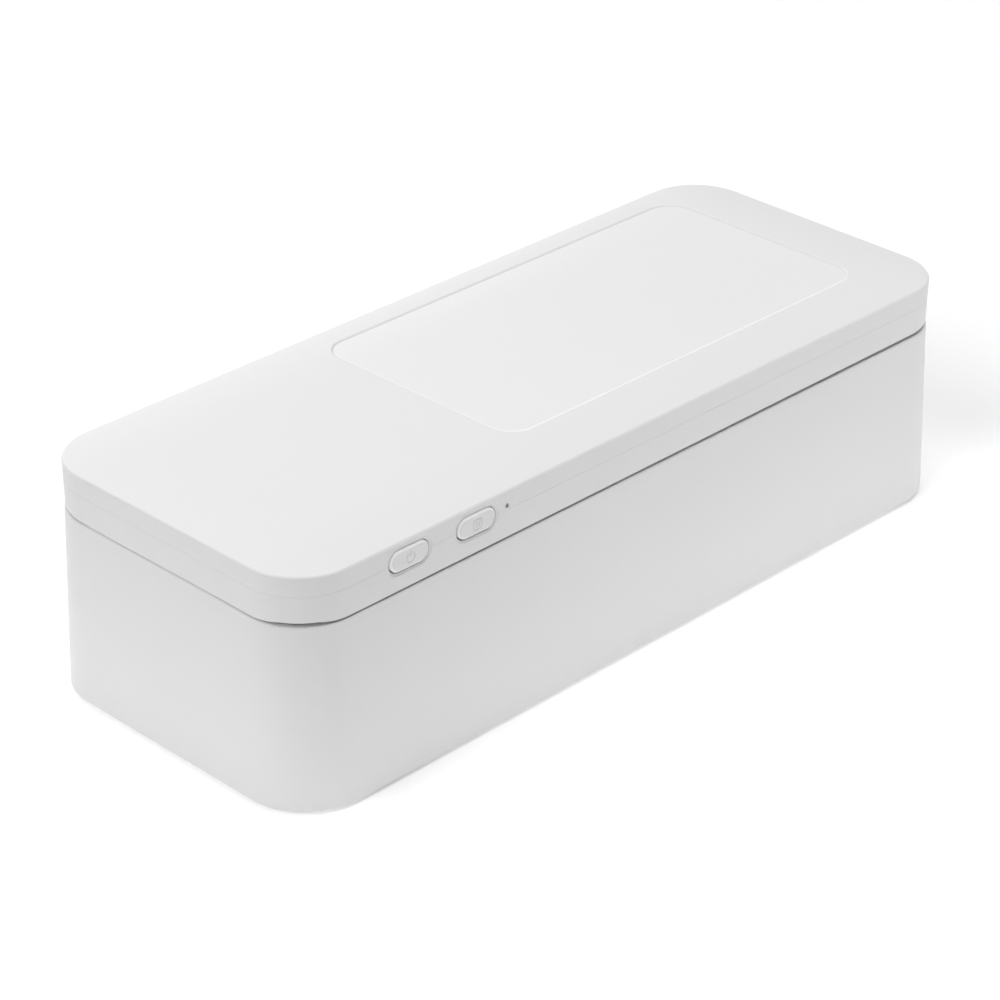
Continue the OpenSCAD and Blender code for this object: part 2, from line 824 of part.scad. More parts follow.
module usb_socket() {
    color("silver") {
        difference() {
            pill(socket_x, socket_z, socket_width, socket_height,
                 socket_mouth_y - socket_depth, socket_mouth_y);
            pill(socket_x, socket_z, socket_width - 2 * socket_wall, socket_height - 2 * socket_wall,
                 socket_mouth_y - socket_depth + 1.2, socket_mouth_y + through);
        }
        box([socket_x - tongue_w / 2, socket_mouth_y - socket_depth + 1, socket_z - tongue_t / 2],
            [socket_x + tongue_w / 2, socket_mouth_y - 1.6, socket_z + tongue_t / 2]);
    }
}

module button_switches() {
    color("silver") for (x = [power_x, cycle_x]) {
        difference() {
            box([x - switch_l / 2, switch_front_y, board_top_z],
                [x + switch_l / 2, switch_front_y + switch_depth, button_z + switch_h / 2]);
            translate([x, switch_front_y + switch_bore_depth, button_z]) rotate([90, 0, 0])
                cylinder(h = switch_bore_depth + through, r = plunger_r + plunger_bore_gap);
        }
    }
}

module hall_sensor() {
    color("dimgray") on_board(sensor_x - board_left, board_front_y + 1.5, 3, 2, 1.1);
}

module status_light() {
    color("lightgreen")
        on_board(pinhole_x - board_left, cavity_front_y + 5.2, 1.6, 1.6, pinhole_z - board_top_z + 0.5);
}

module light_pipe() {
    pipe_y = cavity_front_y + 4.2;
    color("whitesmoke") {
        translate([pinhole_x, pipe_y, pinhole_z]) rotate([90, 0, 0])
            cylinder(h = 4.1, r = 1.1);
        translate([pinhole_x, pipe_y - 4, pinhole_z]) rotate([90, 0, 0])
            cylinder(h = 1.2, r = pinhole_r - 0.05);
    }
}

module coil_holder() {
    color("white") difference() {
        translate([coil_x, coil_y, 0]) plate(holder_size, holder_size, 4, holder_z, holder_z + holder_t);
        for (spot = holder_spots) {
            post(spot[0], spot[1], board_screw_r + fit, holder_z - through, holder_z + holder_t + through);
        }
    }
}

module ferrite_sheet() {
    color("dimgray") translate([coil_x, coil_y, 0])
        plate(ferrite_size, ferrite_size, 6, ferrite_z, ferrite_z + ferrite_t);
}

module charging_coil() {
    color("chocolate") translate([coil_x, coil_y, coil_top_z - coil_t]) rotate_extrude()
        translate([coil_inner_r, 0]) square([coil_outer_r - coil_inner_r, coil_t]);
}

module coil_leads() {
    // The leads end at the coil's edge, so each starts where its own y meets that circle
    color("chocolate") for (y = lead_ys) {
        start_x = coil_x - sqrt(pow(coil_outer_r, 2) - y * y) + 0.02;
        translate([lead_drop_x, coil_y + y, lead_z]) {
            rotate([0, 90, 0]) cylinder(h = start_x - lead_drop_x - 0.05, r = lead_r);
            sphere(lead_r);
            translate([0, 0, board_top_z - lead_z]) cylinder(h = lead_z - board_top_z, r = lead_r);
        }
    }
}

module coil_screws() {
    color("silver") for (spot = holder_spots) {
        screw(spot[0], spot[1], holder_z, board_screw_r, holder_t + 2, 1.9, 1, 1);
    }
}

module lid_magnets() {
    color("silver") for (side = [-1, 1]) {
        box([side * magnet_x - magnet_l / 2, cavity_front_y + 0.2, tray_top_z],
            [side * magnet_x + magnet_l / 2, cavity_front_y + 0.2 + magnet_h, tray_top_z + magnet_t]);
    }
}

// ---------- buttons ----------

module button_cap(x) {
    pill(x, button_z, button_length, button_height, button_face_y, flange_back_y);
    pill(x, button_z, button_length + 2 * button_flange_end, button_height + 2 * button_flange_rim,
         flange_back_y - button_flange_t, flange_back_y);
}

module plunger(x) {
    length = switch_front_y - flange_back_y + plunger_out;
    translate([x, flange_back_y + length, button_z]) rotate([90, 0, 0]) cylinder(h = length, r = plunger_r);
}

module power_button() {
    color("white") button_cap(power_x);
}

module power_plunger() {
    color("dimgray") plunger(power_x);
}

module cycle_button() {
    color("white") button_cap(cycle_x);
}

module cycle_plunger() {
    color("dimgray") plunger(cycle_x);
}

base_shell();
chamber_liner();
phone_rack();
light_seal();
bottom_cover();
bottom_screws();
rubber_feet();
base_magnets();
sensor_magnet();
hinge_pins();
lid_frame();
lid_cover();
charging_pad();
lid_reflector();
reflector_screws();
lid_screws();
lamp_windows();
lamp_boards();
uv_lamps();
board_headers();
main_board();
board_screws();
controller_chip();
charger_chip();
power_inductor();
filter_capacitors();
usb_socket();
button_switches();
hall_sensor();
status_light();
light_pipe();
coil_holder();
ferrite_sheet();
charging_coil();
coil_leads();
coil_screws();
lid_magnets();
power_button();
power_plunger();
cycle_button();
cycle_plunger();
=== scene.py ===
"""Looks of the sanitizer box for phones: detailed pieces, materials, light and camera
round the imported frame. Lengths are in millimetres until a piece is finished, then metres."""
import json
import math

import bmesh
import bpy
import numpy as np
from mathutils import Matrix, Quaternion, Vector


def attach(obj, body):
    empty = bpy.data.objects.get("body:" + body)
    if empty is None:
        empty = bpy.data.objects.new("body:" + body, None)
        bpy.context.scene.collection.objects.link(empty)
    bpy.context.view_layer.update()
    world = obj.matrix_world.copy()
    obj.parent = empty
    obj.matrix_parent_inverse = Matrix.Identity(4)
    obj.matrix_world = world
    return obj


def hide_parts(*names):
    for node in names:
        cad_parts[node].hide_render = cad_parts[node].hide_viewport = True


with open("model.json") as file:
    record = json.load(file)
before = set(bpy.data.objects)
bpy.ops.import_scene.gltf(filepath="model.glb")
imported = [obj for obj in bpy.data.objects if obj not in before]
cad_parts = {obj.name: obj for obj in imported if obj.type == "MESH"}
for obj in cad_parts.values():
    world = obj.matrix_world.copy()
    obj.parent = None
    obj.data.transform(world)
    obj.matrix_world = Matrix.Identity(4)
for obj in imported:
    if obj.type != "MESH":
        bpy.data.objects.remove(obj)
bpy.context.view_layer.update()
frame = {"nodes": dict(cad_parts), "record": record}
scene = bpy.context.scene
MM = 0.001

# ---------------------------------------------------------------- camera

CAMERA_AT = (-543.94, -532.48, 444.18)
CAMERA_AIM = (25.83, 31.95, 0.0)
CAMERA_LENS = 120.6
CAMERA_ROLL = math.radians(0.115)

camera = bpy.data.objects.new("camera", bpy.data.cameras.new("camera"))
scene.collection.objects.link(camera)
camera.data.sensor_width = 36
camera.data.lens = CAMERA_LENS
camera.data.clip_start, camera.data.clip_end = 0.01, 60
camera.location = Vector(CAMERA_AT) * MM
aim = (Vector(CAMERA_AIM) - Vector(CAMERA_AT)).to_track_quat("-Z", "Y")
camera.rotation_mode = "QUATERNION"
camera.rotation_quaternion = aim @ Quaternion((0, 0, 1), CAMERA_ROLL)
scene.camera = camera

# ---------------------------------------------------------------- sizes
# They are the CAD model's, apart from a few details of pad, keys and pinhole that follow the photograph

BASE_L, BASE_W, BASE_R = 240.0, 96.5, 17.6
BASE_Z, RIM_Z, DRAFT = 0.7, 50.7, 1.5
COVER_TOP_Z, LOW_SEAT_Z = 2.9, 4.5
FLANGE_Z, FLANGE_TOP_Z, HIGH_SEAT_Z = 47.9, 49.4, 46.3
POCKET_IN, SEAT_IN, COVER_IN = 3.7, 5.5, 2.2
CHAMBER_L, CHAMBER_R = 225.8, 14.0
LINER_T, LINER_Z, FLOOR_Z = 1.4, 6.5, 7.9
COVER_SCREWS = [(x, y) for x in (-86, 0, 86) for y in (-26.25, 26.25)]
FEET = [(x, y) for x in (-105, 105) for y in (-33.25, 33.25)]
LID_L, LID_W, LID_R = 236.6, 93.1, 15.9
LID_Z, TRAY_Z, PARTING_Z, EDGE_Z, TOP_Z = 51.4, 53.2, 58.3, 63.6, 64.8
PARTING_GAP, LEAN, CROWN_RUN = 0.02, 0.02, 20.0
WALL = 2.0
CAVITY_TOP_Z = 61.85
PAD_L, PAD_W, PAD_R = 131.3, 68.3, 7.4
PAD_X, PAD_Y, PAD_DEPTH, PAD_T = 32.844, 4.1, 0.26, 1.19
KEY_XS, KEY_Z, KEY_L, KEY_H = (-83.3, -61.5), 58.75, 12.3, 5.5
KEY_FACE_Y, KEY_BACK_Y, FRONT_Y = -47.29, -43.7, -46.692   # FRONT_Y: the lid's side at KEY_Z
PINHOLE_X, PINHOLE_Z, PINHOLE_R = -51.05, 59.4, 0.6
AXIS_Y, AXIS_Z, KNUCKLE_R, KNUCKLE_L = 48.15, 50.95, 2.6, 9.4
HINGE_XS = (-84, 84)
LAMP_XS, LAMP_YS = (-81, -27, 27, 81), (-20, 20)
LID_BOSSES = [(x, y) for x in (-107.8, -20, 107.8) for y in (-35.8, 35.8)]
REFLECTOR_SCREWS = [(x, y) for x in (-103.9, 103.9) for y in (-32.15, 32.15)]
BOARD_POSTS = [(x, y) for x in (-94.3, -42.3) for y in (-33.8, 35.15)]
HOLDER_POSTS = [(PAD_X + x, PAD_Y + y) for x in (-27.4, 27.4) for y in (-27.4, 27.4)]
SOCKET_X, SOCKET_Z, SOCKET_W, SOCKET_H = -48.3, 58.83, 8.94, 3.26
CREASE_OUT = LEAN * (EDGE_Z - LID_Z)
PAD_SEAT_Z = TOP_Z - PAD_DEPTH - PAD_T
PIN_BORE_R, ARM_BORE_R = 1.02, 1.05
SCREW_PILOT_R, BOSS_PILOT_R, BOSS_HOLE_R, BOSS_HEAD_R = 0.92, 1.02, 1.2, 2.2
RELIEF_GAP, RELIEF_SPARE = 0.35, 0.6   # room round a knuckle of the other side, and along it in all

# ---------------------------------------------------------------- mesh tools

CORNER_STEPS, LONG_STEPS, SHORT_STEPS = 16, 28, 12


def outline(length, width, r, steps=CORNER_STEPS, nx=LONG_STEPS, ny=SHORT_STEPS):
    """Rounded rectangle, anticlockwise, always with the same number of points for the same steps."""
    points = []
    for k in range(4):
        sx, sy = (1, -1, -1, 1)[k], (1, 1, -1, -1)[k]
        angles = (k + np.linspace(0, 1, steps + 1)) * math.pi / 2
        points.append(np.stack([sx * (length / 2 - r) + r * np.cos(angles),
                                sy * (width / 2 - r) + r * np.sin(angles)], 1))
        sx, sy = (-1, -1, 1, 1)[k], (1, -1, -1, 1)[k]
        turn = (k + 1) * math.pi / 2
        end = np.array([sx * (length / 2 - r) + r * math.cos(turn),
                        sy * (width / 2 - r) + r * math.sin(turn)])
        share = np.linspace(0, 1, (nx, ny)[k % 2] + 1)[1:-1, None]
        points.append(points[-1][-1] * (1 - share) + end * share)
    return np.concatenate(points)


def circle(r, steps=48):
    angles = np.arange(steps) * 2 * math.pi / steps
    return np.stack([r * np.cos(angles), r * np.sin(angles)], 1)


def pill(length, height, steps=20):
    """Pill outline with round ends, anticlockwise."""
    r = height / 2
    ends = []
    for side in (1, -1):
        angles = np.linspace(-math.pi / 2, math.pi / 2, steps + 1)
        ends.append(np.stack([side * (length / 2 - r + r * np.cos(angles)),
                              side * r * np.sin(angles)], 1))
    return np.concatenate(ends)


def rounded(path, closed=False):
    """Path of (inset, height, radius, ...) with its corners turned into arcs."""
    rows = [np.array(list(p) + [0.0] * (4 - len(p))) for p in path]
    made = []
    for i, row in enumerate(rows):
        inner = closed or 0 < i < len(rows) - 1
        if not inner or row[2] <= 0:
            made.append(row[[0, 1, 3]])
            continue
        here, before, after = row[:2], rows[i - 1][:2], rows[(i + 1) % len(rows)][:2]
        a, b = before - here, after - here
        la, lb = np.linalg.norm(a), np.linalg.norm(b)
        a, b = a / la, b / lb
        half = math.acos(max(-1, min(1, float(a @ b)))) / 2
        reach = min(row[2] / math.tan(half), la * 0.49, lb * 0.49)
        r = reach * math.tan(half)
        middle = here + (a + b) / np.linalg.norm(a + b) * r / math.sin(half)
        v0, v1 = here + a * reach - middle, here + b * reach - middle
        sweep = math.pi - 2 * half
        steps = max(3, int(math.ceil(math.degrees(sweep) / 15)))
        for t in np.linspace(0, 1, steps + 1):
            v = (math.sin((1 - t) * sweep) * v0 + math.sin(t * sweep) * v1) / math.sin(sweep)
            made.append(np.array([*(middle + v), row[3]]))
    return made


def new_object(name, bm):
    mesh = bpy.data.meshes.new(name)
    bm.to_mesh(mesh)
    bm.free()
    made = bpy.data.objects.new(name, mesh)
    scene.collection.objects.link(made)
    return made


def loft(name, loops, closed=False):
    """Surface through a stack of loops; its two ends are capped unless the stack closes on itself."""
    bm = bmesh.new()
    rings = [[bm.verts.new(p) for p in loop] for loop in loops]
    pairs = list(zip(rings, rings[1:])) + ([(rings[-1], rings[0])] if closed else [])
    for low, high in pairs:
        for j in range(len(low)):
            k = (j + 1) % len(low)
            bm.faces.new((low[j], low[k], high[k], high[j]))
    if not closed:
        bm.faces.new(rings[0][::-1])
        bm.faces.new(rings[-1])
    bmesh.ops.remove_doubles(bm, verts=bm.verts, dist=1e-5)
    bmesh.ops.recalc_face_normals(bm, faces=bm.faces)
    return new_object(name, bm)


def flat(points, z):
    return np.column_stack([points, np.full(len(points), float(z))])


def upright(points, x, y, z):
    """Outline set up on edge: its first coordinate runs along X from x, its second upwards from z."""
    return np.column_stack([points[:, 0] + x, np.broadcast_to(y, len(points)), points[:, 1] + z])


def stack(name, length, width, r, path, closed=False, least=0.4):
    """Rounded-rectangle loops along a path of (inset, height, edge radius, extra corner radius)."""
    loops = []
    for inset, z, extra in rounded(path, closed):
        points = outline(length - 2 * inset, width - 2 * inset, max(r - inset + extra, least))
        loops.append(flat(points, z))
    return loft(name, loops, closed)


def turned(name, spots, path, steps=48):
    """The same round form, a path of (radius, height, edge radius), at each spot."""
    made = [loft(name, [flat(circle(max(r, 1e-3), steps) + np.array(spot), z)
                        for r, z, _ in rounded(path)]) for spot in spots]
    return join(name, made)


def join(name, objects):
    """One object from several, left as separate shells."""
    bm = bmesh.new()
    for o in objects:
        bm.from_mesh(o.data)
        bpy.data.objects.remove(o)
    return new_object(name, bm)


def combine(target, tool, operation="DIFFERENCE"):
    """Exact boolean, applied at once; the tool is used up."""
    step = target.modifiers.new("combine", "BOOLEAN")
    step.object, step.operation, step.solver = tool, operation, "EXACT"
    found = target.evaluated_get(bpy.context.evaluated_depsgraph_get())
    mesh = bpy.data.meshes.new_from_object(found)
    target.modifiers.clear()
    target.data = mesh
    bpy.data.objects.remove(tool)
    return target


def across_x(name, points, x0, x1, edge=0.25):
    """Prism along X from an outline of (y, z) points, with its two end faces' edges softened."""
    points = np.array(points, float)
    middle = points.mean(0)
    loops = []
    for x, inset in ((x0, edge), (x0 + edge * 0.3, edge * 0.3), (x0 + edge, 0),
                     (x1 - edge, 0), (x1 - edge * 0.3, edge * 0.3), (x1, edge)):
        away = points - middle
        scale = 1 - inset / np.linalg.norm(away, axis=1, keepdims=True)
        shape = middle + away * scale
        loops.append(np.column_stack([np.full(len(shape), x), shape]))
    return loft(name, loops)


def bar(name, xs, y, z, r, length, steps=64):
    """Cylinders along X."""
    ring = circle(r, steps) + (y, z)
    return join(name, [loft(name, [np.column_stack([np.full(steps, x + s * length / 2), ring])
                                   for s in (-1, 1)]) for x in xs])


def complete(piece, body, slot, replaced, smooth=38):
    """Turns a piece into metres and gives it its material, body and shading."""
    mesh = piece.data
    bm = bmesh.new()
    bm.from_mesh(mesh)
    bmesh.ops.remove_doubles(bm, verts=bm.verts, dist=1e-4)
    bmesh.ops.dissolve_degenerate(bm, edges=bm.edges, dist=1e-4)
    bmesh.ops.recalc_face_normals(bm, faces=bm.faces)
    bm.to_mesh(mesh)
    bm.free()
    mesh.transform(Matrix.Scale(MM, 4))
    mesh.shade_smooth()
    mesh.set_sharp_from_angle(angle=math.radians(smooth))
    mesh.materials.clear()
    mesh.materials.append(MATERIALS[slot])
    normals = piece.modifiers.new("normals", "WEIGHTED_NORMAL")
    normals.keep_sharp, normals.weight = True, 50
    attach(piece, body)
    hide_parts(replaced)
    return piece


# ---------------------------------------------------------------- materials

MATERIALS = {}


def node(tree, kind, *links, **values):
    """Adds a node; links are (input, socket) pairs and values set inputs by name."""
    made = tree.nodes.new(kind)
    for key, value in values.items():
        made.inputs[key.replace("_", " ")].default_value = value
    for key, socket in links:
        tree.links.new(socket, made.inputs[key])
    return made


def noise(tree, where, scale, detail=3.0, roughness=0.5):
    return node(tree, "ShaderNodeTexNoise", ("Vector", where), Scale=scale, Detail=detail,
                Roughness=roughness).outputs[0]


def spread(tree, value, low, high, start=0.3, end=0.7):
    return node(tree, "ShaderNodeMapRange", ("Value", value), From_Min=start, From_Max=end,
                To_Min=low, To_Max=high).outputs[0]


def blend_colours(tree, share, a, b):
    mix = tree.nodes.new("ShaderNodeMix")
    mix.data_type = "RGBA"
    tree.links.new(share, mix.inputs[0])
    for index, colour in ((6, a), (7, b)):
        if isinstance(colour, tuple):
            mix.inputs[index].default_value = (*colour, 1)
        else:
            tree.links.new(colour, mix.inputs[index])
    return mix.outputs[2]


def vector_step(tree, operation, a, b=None):
    """One vector operation; a and b are sockets or constant triples."""
    made = tree.nodes.new("ShaderNodeVectorMath")
    made.operation = operation
    for index, value in enumerate((a, b)):
        if isinstance(value, tuple):
            made.inputs[index].default_value = value
        elif value is not None:
            tree.links.new(value, made.inputs[index])
    return made.outputs["Value" if operation in ("LENGTH", "DOT_PRODUCT") else "Vector"]


def material(slot, colour, shift, rough, grain, height, metallic=0.0, rough_shift=0.04, cloud=14.0,
             rise=None, **extra):
    """Moulded or plated surface: two close colours in soft clouds, a roughness that varies a
    little, and a bump of the given grain (per metre) and height (in metres). With a rise the
    second, darker colour takes over with height, up to that height (in metres): painted light
    low down and painted shade higher up, standing in for light bounced from the floor."""
    made = bpy.data.materials.new(slot)
    made.use_nodes = True
    tree = made.node_tree
    shader = tree.nodes["Principled BSDF"]
    where = node(tree, "ShaderNodeTexCoord").outputs["Object"]
    clouds_and_painted_light = spread(tree, noise(tree, where, cloud, 2.0), 0, 1 if rise is None else 0.12)
    if rise:
        place_z = node(tree, "ShaderNodeSeparateXYZ", ("Vector", where)).outputs[2]
        painted_bounce_share = spread(tree, place_z, 0, 1, 0, rise)
        added = tree.nodes.new("ShaderNodeMath")
        tree.links.new(clouds_and_painted_light, added.inputs[0])
        tree.links.new(painted_bounce_share, added.inputs[1])
        clouds_and_painted_light = added.outputs[0]
    other = tuple(c * (1 - shift) for c in colour)
    tree.links.new(blend_colours(tree, clouds_and_painted_light, colour, other), shader.inputs["Base Color"])
    fine = noise(tree, where, grain * 0.22, 4.0, 0.6)
    tree.links.new(spread(tree, fine, rough - rough_shift, rough + rough_shift), shader.inputs["Roughness"])
    bump = node(tree, "ShaderNodeBump", ("Height", noise(tree, where, grain, 3.0, 0.55)),
                Strength=1.0, Distance=height)
    tree.links.new(bump.outputs[0], shader.inputs["Normal"])
    shader.inputs["Metallic"].default_value = metallic
    for key, value in extra.items():
        shader.inputs[key.replace("_", " ")].default_value = value
    MATERIALS[slot] = made
    return tree, shader, where


# The shell's rise paints light bounced from the floor: painted paler low down and darker higher up
material("white_shell", (0.845, 0.845, 0.845), 0.095, 0.44, 2400, 6e-6, rise=0.062, IOR=1.46)
tree, shader, where = material("pad_white", (0.812, 0.812, 0.812), 0.010, 0.34, 3200, 3e-6, IOR=1.48)

# The pad's edge carries a painted highlight and painted shade: a line along its outline, painted pale at
# the front and left and painted dim at the rear
EDGE_LIGHT_IN, EDGE_LIGHT_OUT = 0.6, 0.2       # where the line starts and is full, in from the outline
LIGHT_WAY = (-0.45, -0.9, 0)
from_middle = vector_step(tree, "SUBTRACT", where, (PAD_X * MM, PAD_Y * MM, 0))
from_middle = vector_step(tree, "MULTIPLY", from_middle, (1, 1, 0))
beyond = vector_step(tree, "SUBTRACT", vector_step(tree, "ABSOLUTE", from_middle),
                     ((PAD_L / 2 - PAD_R) * MM, (PAD_W / 2 - PAD_R) * MM, 0))
beyond = vector_step(tree, "MAXIMUM", beyond, (0, 0, 0))
ring_share = spread(tree, vector_step(tree, "LENGTH", beyond), 0, 1,
                    (PAD_R - EDGE_LIGHT_IN) * MM, (PAD_R - EDGE_LIGHT_OUT) * MM)
outward = vector_step(tree, "MULTIPLY", vector_step(tree, "NORMALIZE", beyond),
                      vector_step(tree, "SIGN", from_middle))
toward_light = tree.nodes.new("ShaderNodeMath")
toward_light.operation = "MULTIPLY"
tree.links.new(vector_step(tree, "DOT_PRODUCT", outward, LIGHT_WAY), toward_light.inputs[0])
tree.links.new(ring_share, toward_light.inputs[1])
plain = shader.inputs["Base Color"].links[0].from_socket
# Painted highlight where the edge faces the light, painted shade where it faces away
painted_highlight = blend_colours(tree, spread(tree, toward_light.outputs[0], 0, 1, 0, 1), plain, (0.94, 0.94, 0.94))
painted_edge_light_and_shade = blend_colours(tree, spread(tree, toward_light.outputs[0], 0, 1, 0, -1), painted_highlight, (0.66, 0.66, 0.66))
tree.links.new(painted_edge_light_and_shade, shader.inputs["Base Color"])

# The keys' bevels carry a painted highlight: paler from a little behind the face
BEVEL_HIGHLIGHT_FROM, BEVEL_HIGHLIGHT_FULL = 0.16, 0.21
tree, shader, where = material("button_white", (0.785, 0.785, 0.785), 0.008, 0.38, 2600, 4e-6, IOR=1.46)
place_y = node(tree, "ShaderNodeSeparateXYZ", ("Vector", where)).outputs[1]
plain = shader.inputs["Base Color"].links[0].from_socket
# Painted highlight on the bevel, from a little behind the face
share = spread(tree, place_y, 0, 1, (KEY_FACE_Y + BEVEL_HIGHLIGHT_FROM) * MM, (KEY_FACE_Y + BEVEL_HIGHLIGHT_FULL) * MM)
tree.links.new(blend_colours(tree, share, plain, (0.97, 0.97, 0.97)), shader.inputs["Base Color"])

material("metallised", (0.83, 0.84, 0.85), 0.02, 0.20, 240, 1.6e-5, metallic=1.0, rough_shift=0.05)
material("rack_plastic", (0.78, 0.79, 0.80), 0.02, 0.24, 1500, 4e-6, IOR=1.49)
material("seal_rubber", (0.42, 0.42, 0.43), 0.06, 0.62, 1800, 1.2e-5)
material("foot_rubber", (0.10, 0.10, 0.105), 0.12, 0.70, 1400, 2e-5)
material("steel", (0.60, 0.60, 0.61), 0.08, 0.30, 3000, 4e-6, metallic=1.0, rough_shift=0.08)
material("magnet", (0.66, 0.65, 0.63), 0.05, 0.18, 1200, 3e-6, metallic=1.0)
material("quartz", (0.93, 0.96, 0.98), 0.01, 0.05, 900, 1e-6, rough_shift=0.02, IOR=1.46,
         Transmission_Weight=1.0)
material("strip_board", (0.82, 0.82, 0.80), 0.03, 0.38, 900, 8e-6)
material("lamp_gold", (0.72, 0.60, 0.30), 0.25, 0.28, 2200, 8e-6, metallic=0.6, cloud=420)
material("black_plastic", (0.035, 0.035, 0.037), 0.2, 0.5, 2600, 1e-5)
material("ferrite", (0.07, 0.07, 0.075), 0.15, 0.6, 1800, 2e-5)
material("capacitor_tan", (0.42, 0.27, 0.13), 0.12, 0.3, 1200, 8e-6)
material("socket_steel", (0.62, 0.62, 0.62), 0.06, 0.27, 2600, 4e-6, metallic=1.0, rough_shift=0.07)
# The clear plastic is painted nearly black: painted shade behind the pinhole, where the light pipe sits
material("clear_plastic", (0.06, 0.065, 0.065), 0.1, 0.3, 900, 2e-6, IOR=1.49,
         Transmission_Weight=0.3)

# Board with copper tracks that show faintly through its solder mask
tree, shader, where = material("green_board", (0.03, 0.20, 0.09), 0.1, 0.34, 900, 8e-6)
tracks = node(tree, "ShaderNodeTexBrick", ("Vector", where), Scale=260.0, Mortar_Size=0.06,
              Color1=(0, 0, 0, 1), Color2=(0, 0, 0, 1), Mortar=(1, 1, 1, 1))
plain = shader.inputs["Base Color"].links[0].from_socket
tree.links.new(blend_colours(tree, tracks.outputs["Fac"], plain, (0.10, 0.36, 0.17)),
               shader.inputs["Base Color"])

# Enamelled wire: fine rings round the coil's middle
tree, shader, where = material("copper", (0.72, 0.30, 0.12), 0.12, 0.28, 2000, 4e-6, metallic=1.0)
offset = node(tree, "ShaderNodeMapping", ("Vector", where), Location=(-PAD_X * MM, -PAD_Y * MM, 0))
wires = node(tree, "ShaderNodeTexWave", ("Vector", offset.outputs[0]), Scale=320.0, Distortion=0.0)
wires.wave_type, wires.rings_direction = "RINGS", "Z"
turns = node(tree, "ShaderNodeBump", ("Height", wires.outputs["Fac"]), Strength=1.0, Distance=1.5e-4)
tree.links.new(turns.outputs[0], shader.inputs["Normal"])

for name, cad in frame["nodes"].items():
    slot = next(row["material_slot"] for row in frame["record"]["subparts"] if row["node"] == name)
    if cad.data.materials:
        for index in range(len(cad.data.materials)):
            cad.data.materials[index] = MATERIALS[slot]
    else:
        cad.data.materials.append(MATERIALS[slot])

# ---------------------------------------------------------------- base

# How far the two edges of the gap under the lid stand off their CAD heights in the photograph, in mm:
# at the left side, at the front's left end and at its right end
RIM_SHIFTS, EDGE_SHIFTS = (0.08, -0.45, -0.52), (-0.54, -0.74, -0.25)
RIM_BAND = 0.9                         # how deep the rim's shift reaches into the shell
AHEAD_FROM, AHEAD_RUN, BEHIND_FROM, BEHIND_RUN = 22, 20, 24, 18


def inner_inset(z):
    """Inset of the shell's inner face, which leans in with the outer one."""
    return COVER_IN + DRAFT * (z - BASE_Z) / (RIM_Z - BASE_Z)


def shift_at(x, y, shifts):
    """How far an edge of the gap is moved at a place; at the rear it keeps its CAD height."""
    side, front_left, front_right = shifts
    along = min(1, max(0, x / LID_L + 0.5))
    front = front_left + (front_right - front_left) * along
    ahead = min(1, max(0, (-y - AHEAD_FROM) / AHEAD_RUN))
    behind = min(1, max(0, (y - BEHIND_FROM) / BEHIND_RUN))
    return ((side * (1 - along) + front_right * along) * (1 - ahead) + front * ahead) * (1 - behind)


shell = stack("base_shell_detail", BASE_L, BASE_W, BASE_R, [
    (0, BASE_Z, 0.6), (DRAFT, RIM_Z, 0.55), (POCKET_IN, RIM_Z, 0.3), (POCKET_IN, FLANGE_Z, 0.1),
    (SEAT_IN, FLANGE_Z, 0.2), (SEAT_IN, HIGH_SEAT_Z, 0.2), (inner_inset(HIGH_SEAT_Z), HIGH_SEAT_Z, 0.3),
    (inner_inset(LOW_SEAT_Z), LOW_SEAT_Z, 0.3), (SEAT_IN, LOW_SEAT_Z, 0.2), (SEAT_IN, COVER_TOP_Z, 0.2),
    (COVER_IN, COVER_TOP_Z, 0.1), (COVER_IN, BASE_Z, 0.25)], closed=True)
for v in shell.data.vertices:
    if v.co.z > RIM_Z - RIM_BAND:
        v.co.z += shift_at(v.co.x, v.co.y, RIM_SHIFTS)
combine(shell, bar("relief", HINGE_XS, AXIS_Y, AXIS_Z, KNUCKLE_R + RELIEF_GAP, KNUCKLE_L + RELIEF_SPARE))

RIM_REAR_Y, ROOT_DEPTH, GUSSET_DROP = BASE_W / 2 - DRAFT, 1.1, 9.0


def knuckle_outline():
    """Side view of a base knuckle: round at the axis, its gusset running down the wall."""
    root = np.array([RIM_REAR_Y - ROOT_DEPTH, RIM_Z - GUSSET_DROP])
    wall = np.array([RIM_REAR_Y + 0.02, RIM_Z - GUSSET_DROP])
    away = wall - (AXIS_Y, AXIS_Z)
    start = math.atan2(away[1], away[0]) + math.acos(KNUCKLE_R / np.linalg.norm(away))
    end = math.pi - 0.55
    arc = [(AXIS_Y + KNUCKLE_R * math.cos(a), AXIS_Z + KNUCKLE_R * math.sin(a))
           for a in np.linspace(start, end, 28)]
    return [root, wall, *arc, (RIM_REAR_Y - ROOT_DEPTH, RIM_Z - 0.4)]


base_knuckle_xs = [x + s * (KNUCKLE_L + 0.3) for x in HINGE_XS for s in (-1, 1)]
for x in base_knuckle_xs:
    combine(shell, across_x("knuckle", knuckle_outline(), x - KNUCKLE_L / 2, x + KNUCKLE_L / 2), "UNION")
combine(shell, bar("bore", HINGE_XS, AXIS_Y, AXIS_Z, PIN_BORE_R, 3 * KNUCKLE_L + 3))
complete(shell, "base", "white_shell", "base_shell")

